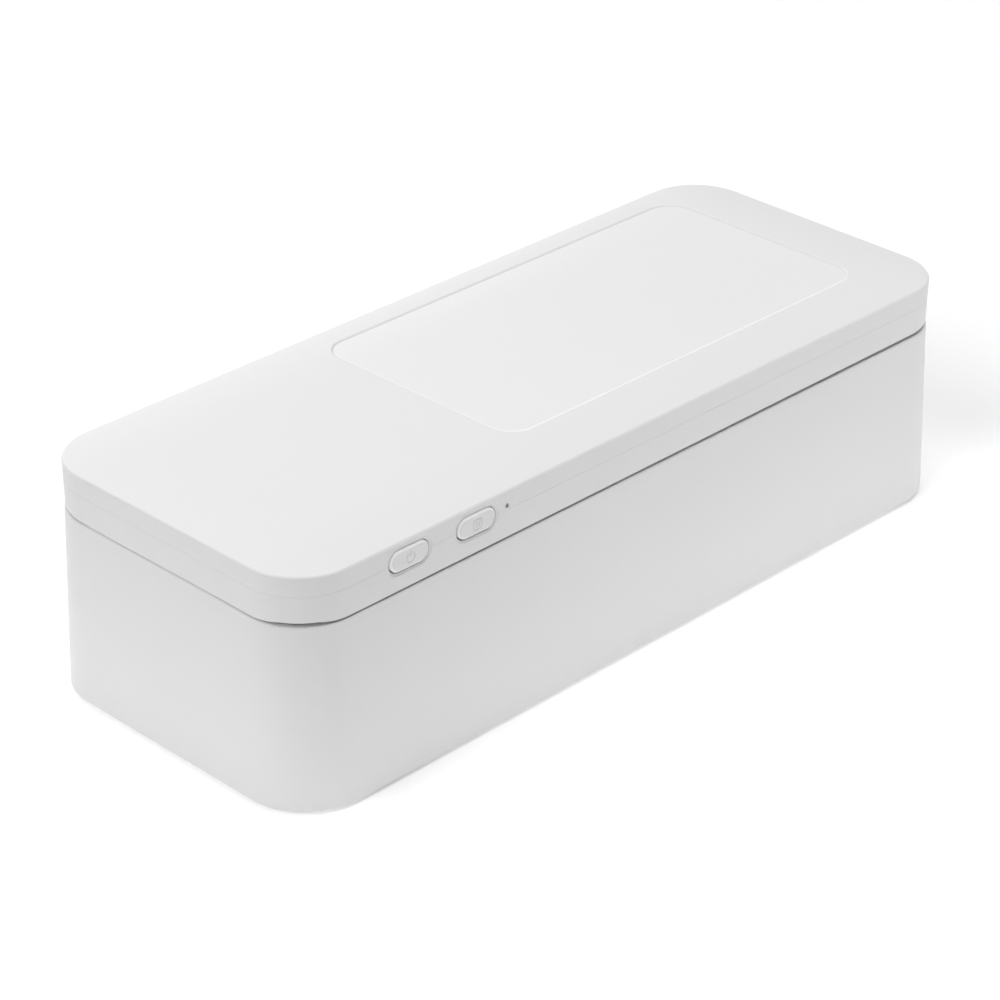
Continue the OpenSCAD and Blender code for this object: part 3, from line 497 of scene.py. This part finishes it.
FLANGE_L, FLANGE_W, FLANGE_R = 232.2, 88.7, 13.7
TUB_IN = (FLANGE_L - CHAMBER_L) / 2
TUB_EXTRA = CHAMBER_R - (FLANGE_R - TUB_IN)
TUB_MIDDLE = TUB_IN + 4.0
liner_path = [(TUB_MIDDLE, LINER_Z, 0, TUB_EXTRA), (TUB_IN - LINER_T, LINER_Z, 2.6, TUB_EXTRA),
              (TUB_IN - LINER_T, FLANGE_Z, 0.3, TUB_EXTRA), (0, FLANGE_Z, 0.15), (0, FLANGE_TOP_Z, 0.2),
              (TUB_IN, FLANGE_TOP_Z, 0.7, TUB_EXTRA), (TUB_IN, FLOOR_Z, 3.4, TUB_EXTRA),
              (TUB_MIDDLE, FLOOR_Z, 0, TUB_EXTRA)]
liner = stack("chamber_liner_detail", FLANGE_L, FLANGE_W, FLANGE_R, liner_path)
combine(liner, turned("boss", COVER_SCREWS, [(3.5, 4.3, 0.3), (3.5, FLOOR_Z - 0.5, 0)]), "UNION")
combine(liner, turned("bore", COVER_SCREWS, [(1.27, 4.0), (1.27, LINER_Z + 0.7)], 24))
RACK_LEGS = [(x, y) for x in (-92.4, 0, 92.4) for y in (-34.95, 34.95)]
combine(liner, turned("peg", RACK_LEGS, [(1.52, FLOOR_Z - 0.9), (1.52, FLOOR_Z + 1)], 32))
complete(liner, "base", "metallised", "chamber_liner")

# Rack: a plate with softly edged windows, so that every bar has rounded edges
RACK_L, RACK_W, RACK_Z, RACK_T, BAR_W = 215.8, 72.3, 11.9, 2.0, 2.4
RACK_BARS, RACK_R = 11, 11.5
rack = stack("phone_rack_detail", RACK_L, RACK_W, RACK_R, [
    (3, RACK_Z - RACK_T), (0, RACK_Z - RACK_T, 0.4), (0, RACK_Z, 0.8), (3, RACK_Z)])
inner_l, inner_w = RACK_L - 2 * BAR_W, RACK_W - 2 * BAR_W
pitch = (inner_l + BAR_W) / (RACK_BARS + 1)
rows_y = [-inner_w / 2, -RACK_W / 6 - BAR_W / 2, -RACK_W / 6 + BAR_W / 2,
          RACK_W / 6 - BAR_W / 2, RACK_W / 6 + BAR_W / 2, inner_w / 2]


def window_loop(size, centre, grow, z, big):
    """Outline of one window; big marks the corner that follows the rack's own corner."""
    points = []
    for k in range(4):
        sx, sy = (1, -1, -1, 1)[k], (1, 1, -1, -1)[k]
        r = (RACK_R - BAR_W if k == big else 1.0) + grow
        angles = (k + np.linspace(0, 1, 9)) * math.pi / 2
        points.append(np.stack([centre[0] + sx * (size[0] / 2 + grow - r) + r * np.cos(angles),
                                centre[1] + sy * (size[1] / 2 + grow - r) + r * np.sin(angles)], 1))
    return flat(np.concatenate(points), z)


windows = []
WINDOW_EDGE = 0.55
for i in range(RACK_BARS + 1):
    x = (i - RACK_BARS / 2) * pitch
    for low, high in zip(rows_y[::2], rows_y[1::2]):
        size, centre = (pitch - BAR_W, high - low), (x, (low + high) / 2)
        big = {(0, 1): 1, (0, -1): 2, (RACK_BARS, 1): 0, (RACK_BARS, -1): 3}.get(
            (i, 0 if abs(centre[1]) < 1 else int(math.copysign(1, centre[1]))), -1)
        steps = [(0, RACK_Z - RACK_T - 1)]
        steps += [(WINDOW_EDGE * (1 - math.cos(a)), RACK_Z - WINDOW_EDGE + WINDOW_EDGE * math.sin(a))
                  for a in np.radians((0, 20, 40, 60, 78))]
        steps.append((steps[-1][0] + 1.2, RACK_Z + 0.25))
        windows.append(loft("window", [window_loop(size, centre, g, z, big) for g, z in steps]))
for cutter in windows:
    combine(rack, cutter)
for name, path, steps in (("leg", [(2.4, FLOOR_Z, 0.3), (2.4, RACK_Z - RACK_T + 0.6, 0)], 40),
                          ("peg", [(1.5, FLOOR_Z - 0.85, 0.2), (1.5, FLOOR_Z + 0.5, 0)], 32)):
    combine(rack, turned(name, RACK_LEGS, path, steps), "UNION")
complete(rack, "base", "rack_plastic", "phone_rack")

SEAL_L, SEAL_W, SEAL_R, SEAL_T, SEAL_TOP_Z = 231.0, 87.5, 13.1, 1.6, 51.1
seal = stack("light_seal_detail", SEAL_L, SEAL_W, SEAL_R, [
    (0, FLANGE_TOP_Z, 0.1), (0, SEAL_TOP_Z, 0.75),
    (SEAL_T, SEAL_TOP_Z, 0.75), (SEAL_T, FLANGE_TOP_Z, 0.1)], closed=True)
complete(seal, "base", "seal_rubber", "light_seal")

COVER_Z = 1.1
cover = stack("bottom_cover_detail", 235.2, 91.7, 15.2, [
    (6, COVER_Z), (0, COVER_Z, 0.4), (0, COVER_TOP_Z, 0.2), (6, COVER_TOP_Z)])
combine(cover, turned("well", COVER_SCREWS, [(4.2, 2.0), (4.2, 4.3, 0.2), (0.5, 4.3)], 40), "UNION")
combine(cover, turned("seat", FEET, [(7.2, COVER_Z - 1), (7.2, COVER_Z + 0.9)]))
combine(cover, turned("head", COVER_SCREWS, [
    (3.4, COVER_Z - 0.5), (2.6, COVER_Z + 0.3), (2.6, COVER_TOP_Z)], 40))
combine(cover, turned("shank", COVER_SCREWS, [(1.45, COVER_TOP_Z - 0.5), (1.45, 5.3)], 24))
complete(cover, "base", "white_shell", "bottom_cover")

feet = turned("rubber_feet_detail", FEET, [
    (0, 0.12), (5.0, 0.12, 0.3), (5.3, 0.0, 0.3), (7.0, 0.0, 0.45), (7.0, COVER_Z + 0.9, 0.1),
    (0, COVER_Z + 0.9)], 56)
complete(feet, "base", "foot_rubber", "rubber_feet")

# ---------------------------------------------------------------- lid

def settle_edge(lid_piece, band=2.0, rise=3.0):
    """Moves the outer band of the lid's underside and the foot of its side wall as the gap asks."""
    for v in lid_piece.data.vertices:
        x, y, z = v.co
        inside = min(LID_L / 2 - abs(x), LID_W / 2 - abs(y))
        share = max(0, 1 - max(inside, 0) / band) * max(0, 1 - (z - LID_Z) / rise)
        v.co.z += shift_at(x, y, EDGE_SHIFTS) * share


GAP_X, GAP_Z, DISH, DISH_WIDTH = 0.38, 0.38, 0.22, 0.85
POCKET_AT, DISH_AT = np.array((0.20, -0.32)), np.array((0.08, 0.10))   # their middles, from the key's


def key_pocket(x):
    """Cutter for a key's pocket: straight inside, then a shallow dish that meets the side steeply."""
    rows = [(-42.6, 0), (FRONT_Y + DISH + 0.12, 0), (FRONT_Y + DISH + 0.02, 0.02)]
    for share in (0.12, 0.3, 0.5, 0.68, 0.82, 0.92, 1.0):
        rows.append((FRONT_Y + DISH * (1 - share ** 2.2), share))
    rows.append((FRONT_Y - 0.6, 1.5))
    loops = []
    for y, share in rows:
        grow = 0.02 + DISH_WIDTH * share if share else 0
        ring = pill(KEY_L + 2 * (GAP_X + grow), KEY_H + 2 * (GAP_Z + grow))
        ring = ring + POCKET_AT * (1 - share) + DISH_AT * share
        loops.append(upright(ring, x, y - LEAN * ring[:, 1], KEY_Z))
    return loft("pocket", loops)


def inlet():
    """Cutter for the power inlet in the rear side, with a small flare."""
    rear = LID_W / 2 + LEAN * (SOCKET_Z - LID_Z)
    loops = []
    for y, g in ((LID_W / 2 - WALL - 1, 0.35), (rear - 0.5, 0.35), (rear - 0.2, 0.45),
                 (rear + 0.05, 0.75), (rear + 0.6, 1.5)):
        ring = pill(SOCKET_W + 2 * g, SOCKET_H + 2 * g)
        loops.append(upright(ring, SOCKET_X, y + LEAN * ring[:, 1], SOCKET_Z))
    return loft("inlet", loops)


def cut_openings(piece):
    """Cuts both key pockets and the inlet, which cross the parting of frame and cover."""
    for x in KEY_XS:
        combine(piece, key_pocket(x))
    combine(piece, inlet())


def side_inset(z):
    """Inset of the lid's side, which leans out a little going up."""
    return -LEAN * (z - LID_Z)


lid_frame = stack("lid_frame_detail", LID_L, LID_W, LID_R, [
    (5, LID_Z), (2.2, LID_Z), (1.2, LID_Z), (0, LID_Z, 0.15), (side_inset(LID_Z + 1.5), LID_Z + 1.5),
    (side_inset(LID_Z + 3), LID_Z + 3), (side_inset(PARTING_Z), PARTING_Z, 0.04),
    (WALL, PARTING_Z, 0.1), (WALL, TRAY_Z, 0.5), (5, TRAY_Z)])
settle_edge(lid_frame)
combine(lid_frame, bar("relief", base_knuckle_xs, AXIS_Y, AXIS_Z,
                       KNUCKLE_R + RELIEF_GAP, KNUCKLE_L + RELIEF_SPARE))
cut_openings(lid_frame)
arm_arc = [(AXIS_Y + KNUCKLE_R * math.cos(a), AXIS_Z + KNUCKLE_R * math.sin(a))
           for a in np.linspace(-math.pi / 2 - 0.6, math.pi / 2 + 0.45, 34)]
for x in HINGE_XS:
    shape = [(LID_W / 2 - WALL / 2, LID_Z + 0.05), (LID_W / 2 + 0.05, LID_Z + 0.05), *arm_arc,
             (LID_W / 2 + 0.1, LID_Z + 3.2), (LID_W / 2 - WALL / 2, LID_Z + 3.2)]
    combine(lid_frame, across_x("knuckle", shape, x - KNUCKLE_L / 2, x + KNUCKLE_L / 2), "UNION")
combine(lid_frame, turned("post", BOARD_POSTS, [
    (2.4, TRAY_Z - 0.5), (2.4, TRAY_Z + 2.8, 0.2), (0.5, TRAY_Z + 2.8)], 32), "UNION")
combine(lid_frame, bar("bore", HINGE_XS, AXIS_Y, AXIS_Z, ARM_BORE_R, KNUCKLE_L + 2))
lamp_spots = [(x, y) for x in LAMP_XS for y in LAMP_YS]
for name, spots, path in (
        ("seat", lamp_spots, [(4.9, LID_Z - 1), (4.9, LID_Z + 0.8)]),
        ("lamp", lamp_spots, [(3.0, LID_Z + 0.1), (3.0, TRAY_Z + 1)]),
        ("head", LID_BOSSES, [(BOSS_HEAD_R, LID_Z - 1), (BOSS_HEAD_R, LID_Z + 1)]),
        ("shank", LID_BOSSES, [(BOSS_HOLE_R, LID_Z + 0.5), (BOSS_HOLE_R, TRAY_Z + 1)]),
        ("pilot", BOARD_POSTS, [(SCREW_PILOT_R, TRAY_Z), (SCREW_PILOT_R, TRAY_Z + 4)]),
        ("pilot", REFLECTOR_SCREWS, [(SCREW_PILOT_R, LID_Z - 1), (SCREW_PILOT_R, TRAY_Z + 1)])):
    combine(lid_frame, turned(name, spots, path, 40))
complete(lid_frame, "lid", "white_shell", "lid_frame")

# Crowned cover: rings follow the side, turn over the crease, then spread towards the pad's outline
CREASE_R = 0.75
CREASE_L, CREASE_W, CREASE_CORNER = LID_L + 2 * CREASE_OUT, LID_W + 2 * CREASE_OUT, LID_R + CREASE_OUT


def depth_in(x, y):
    """How far a point lies in from the crease, blended round the corners."""
    hx, hy = CREASE_L / 2 - CROWN_RUN, CREASE_W / 2 - CROWN_RUN
    qx, qy = np.maximum(np.abs(x) - hx, 0), np.maximum(np.abs(y) - hy, 0)
    away = np.hypot(qx, qy) + 1e-9
    ux, uy = qx / away, qy / away
    k = CROWN_RUN - CREASE_CORNER
    dot = k * (ux + uy)
    arc = dot + np.sqrt(np.maximum(dot ** 2 - 2 * k * k + CREASE_CORNER ** 2, 0))
    box = CROWN_RUN / np.maximum(np.maximum(ux, uy), 1e-9)
    straight = np.minimum(ux, uy) * box <= k
    reach = np.where(straight, box, arc)
    return CROWN_RUN * (1 - away / reach)


def crown(x, y):
    share = np.clip(1 - depth_in(x, y) / CROWN_RUN, 0, 1)
    return EDGE_Z + (TOP_Z - EDGE_Z) * (1 - share ** 2)


def crown_loop(points, drop=0.0):
    return np.column_stack([points, crown(points[:, 0], points[:, 1]) - drop])


def cover_ring(inset, z=None):
    """Ring of the cover, flat at a height or, without one, on the crown."""
    points = outline(LID_L - 2 * inset, LID_W - 2 * inset, max(LID_R - inset, 0.4))
    return crown_loop(points) if z is None else flat(points, z)


slope = 2 * (TOP_Z - EDGE_Z) / CROWN_RUN
COVER_LOW_Z, CREASE_IN = PARTING_Z + PARTING_GAP, 2.2
edge_path = [(side_inset(COVER_LOW_Z), COVER_LOW_Z, 0.04), (-CREASE_OUT, EDGE_Z, CREASE_R),
             (-CREASE_OUT + CREASE_IN, EDGE_Z + slope * CREASE_IN)]
start = [(WALL + 3, CAVITY_TOP_Z), (WALL, CAVITY_TOP_Z, 0.8), (WALL, COVER_LOW_Z, 0.1)]
loops = [cover_ring(i, z) for i, z, _ in rounded(start + edge_path)[:-1]]
for inset in (2.4, 3.6, 5.0, 6.4):
    loops.append(cover_ring(-CREASE_OUT + inset))
pad_hole = outline(PAD_L + 0.06, PAD_W + 0.06, PAD_R + 0.03) + (PAD_X, PAD_Y)
last = outline(CREASE_L - 12.8, CREASE_W - 12.8, CREASE_CORNER - 6.4)
SPREAD_STEPS, PAD_EDGE = 26, 0.68
PAD_RIM = ((PAD_EDGE, 0), (0.60, 0.004), (0.52, 0.02), (0.43, 0.055), (0.2, 0.16), (0.09, 0.215),
           (0.045, 0.27), (0.03, 0.36))   # chamfer round the pad: (out from its outline, below the crown)
pad_edge = outline(PAD_L + 2 * PAD_EDGE, PAD_W + 2 * PAD_EDGE, PAD_R + PAD_EDGE)
for t in np.linspace(0, 1, SPREAD_STEPS + 1)[1:-1]:
    loops.append(crown_loop(last * (1 - t) + pad_edge * t + np.array((PAD_X, PAD_Y)) * t))
for grow, drop in PAD_RIM:
    ring = outline(PAD_L + 2 * grow, PAD_W + 2 * grow, PAD_R + grow) + (PAD_X, PAD_Y)
    loops.append(crown_loop(ring, drop))
loops.append(flat(pad_hole, PAD_SEAT_Z))
loops.append(flat(outline(PAD_L - 6, PAD_W - 6, PAD_R - 3) + (PAD_X, PAD_Y), PAD_SEAT_Z))
lid_cover = loft("lid_cover_detail", loops)
HOLDER_Z = 59.75
for name, spots, path, steps in (
        ("boss", LID_BOSSES, [(3.0, TRAY_Z + 0.02, 0.2), (3.0, CAVITY_TOP_Z + 0.6)], 40),
        ("post", HOLDER_POSTS, [(2.4, HOLDER_Z, 0.2), (2.4, CAVITY_TOP_Z + 0.6)], 32)):
    combine(lid_cover, turned(name, spots, path, steps), "UNION")
cut_openings(lid_cover)
for spots, path in ((LID_BOSSES, [(BOSS_PILOT_R, TRAY_Z - 1), (BOSS_PILOT_R, TRAY_Z + 6)]),
                    (HOLDER_POSTS, [(SCREW_PILOT_R, HOLDER_Z - 1.25), (SCREW_PILOT_R, CAVITY_TOP_Z)])):
    combine(lid_cover, turned("pilot", spots, path, 24))
pin_side = FRONT_Y - LEAN * (PINHOLE_Z - KEY_Z)
pin_rows = ((-43.0, PINHOLE_R), (pin_side + 0.12, PINHOLE_R), (pin_side + 0.03, PINHOLE_R + 0.04),
            (pin_side - 0.6, PINHOLE_R + 0.5))
combine(lid_cover, loft("pinhole", [upright(circle(r, 32), PINHOLE_X, y, PINHOLE_Z) for y, r in pin_rows]))
complete(lid_cover, "lid", "white_shell", "lid_cover")

# Pad: its face follows the crown a little below it
pad_loops = [flat(outline(PAD_L - 2 * inset, PAD_W - 2 * inset, PAD_R - inset) + (PAD_X, PAD_Y), PAD_SEAT_Z)
             for inset in (4, 0.1)]
for inset, drop in ((0, 0.06), (0.018, 0.018), (0.06, 0), (1.2, 0), (3.5, 0), (6.5, 0)):
    ring = outline(PAD_L - 2 * inset, PAD_W - 2 * inset, PAD_R - inset * 0.8) + (PAD_X, PAD_Y)
    pad_loops.append(crown_loop(ring, PAD_DEPTH + drop))
inner = outline(PAD_L - 13, PAD_W - 13, PAD_R - 5.2)
for t in np.linspace(0, 1, 12)[1:]:
    core = inner * np.array((1 - t * 0.42, 1 - t * 0.94))
    pad_loops.append(crown_loop(core + (PAD_X, PAD_Y), PAD_DEPTH))
pad = loft("charging_pad_detail", pad_loops)
complete(pad, "lid", "pad_white", "charging_pad")

REFLECTOR_L, REFLECTOR_W, REFLECTOR_R, REFLECTOR_Z = 223.8, 80.3, 10.0, LID_Z - 1
reflector = stack("lid_reflector_detail", REFLECTOR_L, REFLECTOR_W, REFLECTOR_R, [
    (5, REFLECTOR_Z), (0, REFLECTOR_Z, 0.35), (0, LID_Z - 0.01, 0.1), (5, LID_Z - 0.01)])
hole = [(4.6, LID_Z - 1.25), (4.2, LID_Z - 0.95), (3.98, LID_Z - 0.8), (3.9, LID_Z - 0.6), (3.9, LID_Z + 1)]
combine(reflector, turned("hole", lamp_spots, hole, 56))
combine(reflector, turned("hole", REFLECTOR_SCREWS, [(1.1, LID_Z - 2), (1.1, LID_Z + 1)], 24))
complete(reflector, "lid", "metallised", "lid_reflector")

# ---------------------------------------------------------------- keys

GLYPH_W, GLYPH_D, GLYPH_SLOPE = 0.36, 0.16, 0.07
# Section of a groove: (share of its width from its middle line, depth below the key's face)
GROOVE = ((-0.5, -0.4), (-0.5, 0), (-0.25, GLYPH_D), (0.25, GLYPH_D), (0.5, 0), (0.5, -0.4))


def groove_ring(x, r, gap=0.0, steps=64):
    """Cutter for a round groove on a key's face, open at the top by gap radians on each side."""
    full = gap == 0
    angles = np.linspace(math.pi / 2 + gap, math.pi * 2.5 - gap, steps + 1)
    if full:
        angles = angles[:-1]
    loops = [[(x + math.cos(a) * (r + s * GLYPH_W), KEY_FACE_Y + y, KEY_Z + math.sin(a) * (r + s * GLYPH_W))
              for s, y in GROOVE] for a in angles]
    return loft("groove", loops, closed=full)


def groove_bar(x, z, length):
    """Cutter for a straight upright groove with sloping sides."""
    loops = []
    for y, grow in ((-0.4, 0), (0, 0), (GLYPH_D, -GLYPH_SLOPE)):
        ring = pill(length + 2 * grow, GLYPH_W + 2 * grow, 6)[:, ::-1] * (1, -1)
        loops.append(upright(ring, x, KEY_FACE_Y + y, z))
    return loft("groove", loops)


def square_groove(x, side, r):
    """Cutter for a groove round a small rounded square."""
    loops = []
    for s, y in GROOVE:
        ring = outline(side + 2 * s * GLYPH_W, side + 2 * s * GLYPH_W, r + s * GLYPH_W, 8, 3, 3)
        loops.append(upright(ring, x, KEY_FACE_Y + y, KEY_Z))
    return loft("groove", loops, closed=True)


# A key's bevel: (behind the face, in from the side)
KEY_BEVEL = ((0.66, 0.0), (0.54, 0.02), (0.46, 0.06), (0.17, 0.42), (0.09, 0.50), (0.02, 0.60), (0.0, 0.68))
KEY_FLANGE, KEY_FLANGE_T = 1.6, 0.7


def key(name, x):
    """Key cap: flat face, bevel with soft ends, straight side and a hidden flange at the back."""
    rows = [(KEY_BACK_Y, KEY_FLANGE, 0.2), (KEY_BACK_Y - KEY_FLANGE_T, KEY_FLANGE, 0.2),
            (KEY_BACK_Y - KEY_FLANGE_T, 0, 0)]
    rows += [(KEY_FACE_Y + back, -inset, -inset) for back, inset in KEY_BEVEL]
    rows.append((KEY_FACE_Y, -1.0, -1.0))
    loops = []
    for y, gx, gz in rows:
        loops.append(upright(pill(KEY_L + 2 * gx, KEY_H + 2 * gz), x, y, KEY_Z))
    return loft(name, loops)


power = key("power_button_detail", KEY_XS[0])
combine(power, groove_ring(KEY_XS[0], 1.25, gap=0.55))
combine(power, groove_bar(KEY_XS[0], KEY_Z + 1.0, 1.5))
complete(power, "power_key", "button_white", "power_button")

cycle = key("cycle_button_detail", KEY_XS[1])
combine(cycle, square_groove(KEY_XS[1], 2.7, 0.7))
combine(cycle, groove_ring(KEY_XS[1], 0.62))
complete(cycle, "cycle_key", "button_white", "cycle_button")

# ---------------------------------------------------------------- floor, light

FLOOR_HALF, FLOOR_DROP = 12.0, 0.00002     # in metres
bm = bmesh.new()
bm.faces.new([bm.verts.new((sx * FLOOR_HALF, sy * FLOOR_HALF, -FLOOR_DROP))
              for sx, sy in ((-1, -1), (1, -1), (1, 1), (-1, 1))])
floor = new_object("floor", bm)
paper = bpy.data.materials.new("floor")
paper.use_nodes = True
tree = paper.node_tree
shader = tree.nodes["Principled BSDF"]
where = node(tree, "ShaderNodeTexCoord").outputs["Object"]
tone = spread(tree, noise(tree, where, 6.0, 2.0), 0, 1)
paper_tones = blend_colours(tree, tone, (0.90, 0.90, 0.90), (0.89, 0.89, 0.89))
tree.links.new(paper_tones, shader.inputs["Base Color"])
shader.inputs["Roughness"].default_value = 0.9
shader.inputs["Specular IOR Level"].default_value = 0.1
shader.inputs["Emission Color"].default_value = (1, 1, 1, 1)


def ramp(value, start, end):
    """Smooth step from 0 to 1 between two places in metres."""
    made = node(tree, "ShaderNodeMapRange", ("Value", value), From_Min=start, From_Max=end)
    made.interpolation_type = "SMOOTHSTEP"
    return made.outputs[0]


def combined(operation, values):
    """Chain of one arithmetic operation over sockets."""
    total = values[0]
    for value in values[1:]:
        step = tree.nodes.new("ShaderNodeMath")
        step.operation = operation
        tree.links.new(total, step.inputs[0])
        tree.links.new(value, step.inputs[1])
        total = step.outputs[0]
    return total


def scaled(value, amount, offset=0.0):
    return spread(tree, value, offset, offset + amount, 0, 1)


# The paper glows a little everywhere, and more in places as painted light: a painted pool of light before
# the front and beside the left end, as a lit table would give, and a painted shadow beyond the right end,
# where the photograph's shadow lies
GLOW, PAINTED_LIGHT_FRONT, PAINTED_LIGHT_LEFT, SHADE_RIGHT = 0.08, 0.20, 0.20, 0.078
X, Y = 0, 1
place = node(tree, "ShaderNodeSeparateXYZ", ("Vector", where)).outputs


def patch(*edges):
    """Soft-edged area of the floor from its edges, each (axis, where it starts, where it is full)."""
    return combined("MULTIPLY", [ramp(place[axis], start, end) for axis, start, end in edges])


# Painted pool of light before the front and beside the left end, painted shadow beyond the right end
before = patch((Y, -0.16, -0.07), (Y, -0.02, -0.045), (X, -0.15, -0.03), (X, 0.18, 0.08))
light_pool_left = patch((X, -0.24, -0.14), (X, -0.09, -0.115), (Y, -0.14, -0.05), (Y, 0.14, 0.05))
painted_shadow_right = patch((X, 0.09, 0.115), (X, 0.24, 0.15), (Y, -0.07, -0.03), (Y, 0.14, 0.05))
floor_glow_and_painted_light = combined("ADD", [scaled(before, PAINTED_LIGHT_FRONT, GLOW), scaled(light_pool_left, PAINTED_LIGHT_LEFT),
                        scaled(painted_shadow_right, -SHADE_RIGHT)])
tree.links.new(floor_glow_and_painted_light, shader.inputs["Emission Strength"])
floor.data.materials.append(paper)

world = bpy.data.worlds.new("studio")
scene.world = world
world.use_nodes = True
sky = world.node_tree.nodes["Background"].inputs
sky["Color"].default_value, sky["Strength"].default_value = (1, 1, 1, 1), 0.15


def softbox(name, at, toward, width, height, power):
    """Rectangular area light, placed and aimed in metres."""
    lamp = bpy.data.lights.new(name, "AREA")
    lamp.shape, lamp.size, lamp.size_y, lamp.energy = "RECTANGLE", width, height, power
    made = bpy.data.objects.new(name, lamp)
    scene.collection.objects.link(made)
    made.location = at
    made.rotation_mode = "QUATERNION"
    made.rotation_quaternion = (Vector(toward) - Vector(at)).to_track_quat("-Z", "Y")
    return made


softbox("top_light", (0.35, 0, 2.2), (0, 0, 0), 1.6, 1.6, 33.5)
softbox("left_light", (-1.5, 0.1, 1.5), (0, 0, 0.03), 1.2, 1.2, 15.6)
softbox("back_light", (0.3, 1.9, 1.4), (0, 0, 0.03), 1.4, 1.0, 7.5)
softbox("low_back_light", (0.6, 1.6, 0.35), (0, 0, 0.05), 1.6, 0.5, 5.0)
softbox("near_light", (0.28, -0.5, 0.14), (0.1, 0, 0.03), 0.3, 0.2, 0.5)

scene.view_settings.view_transform = "Standard"
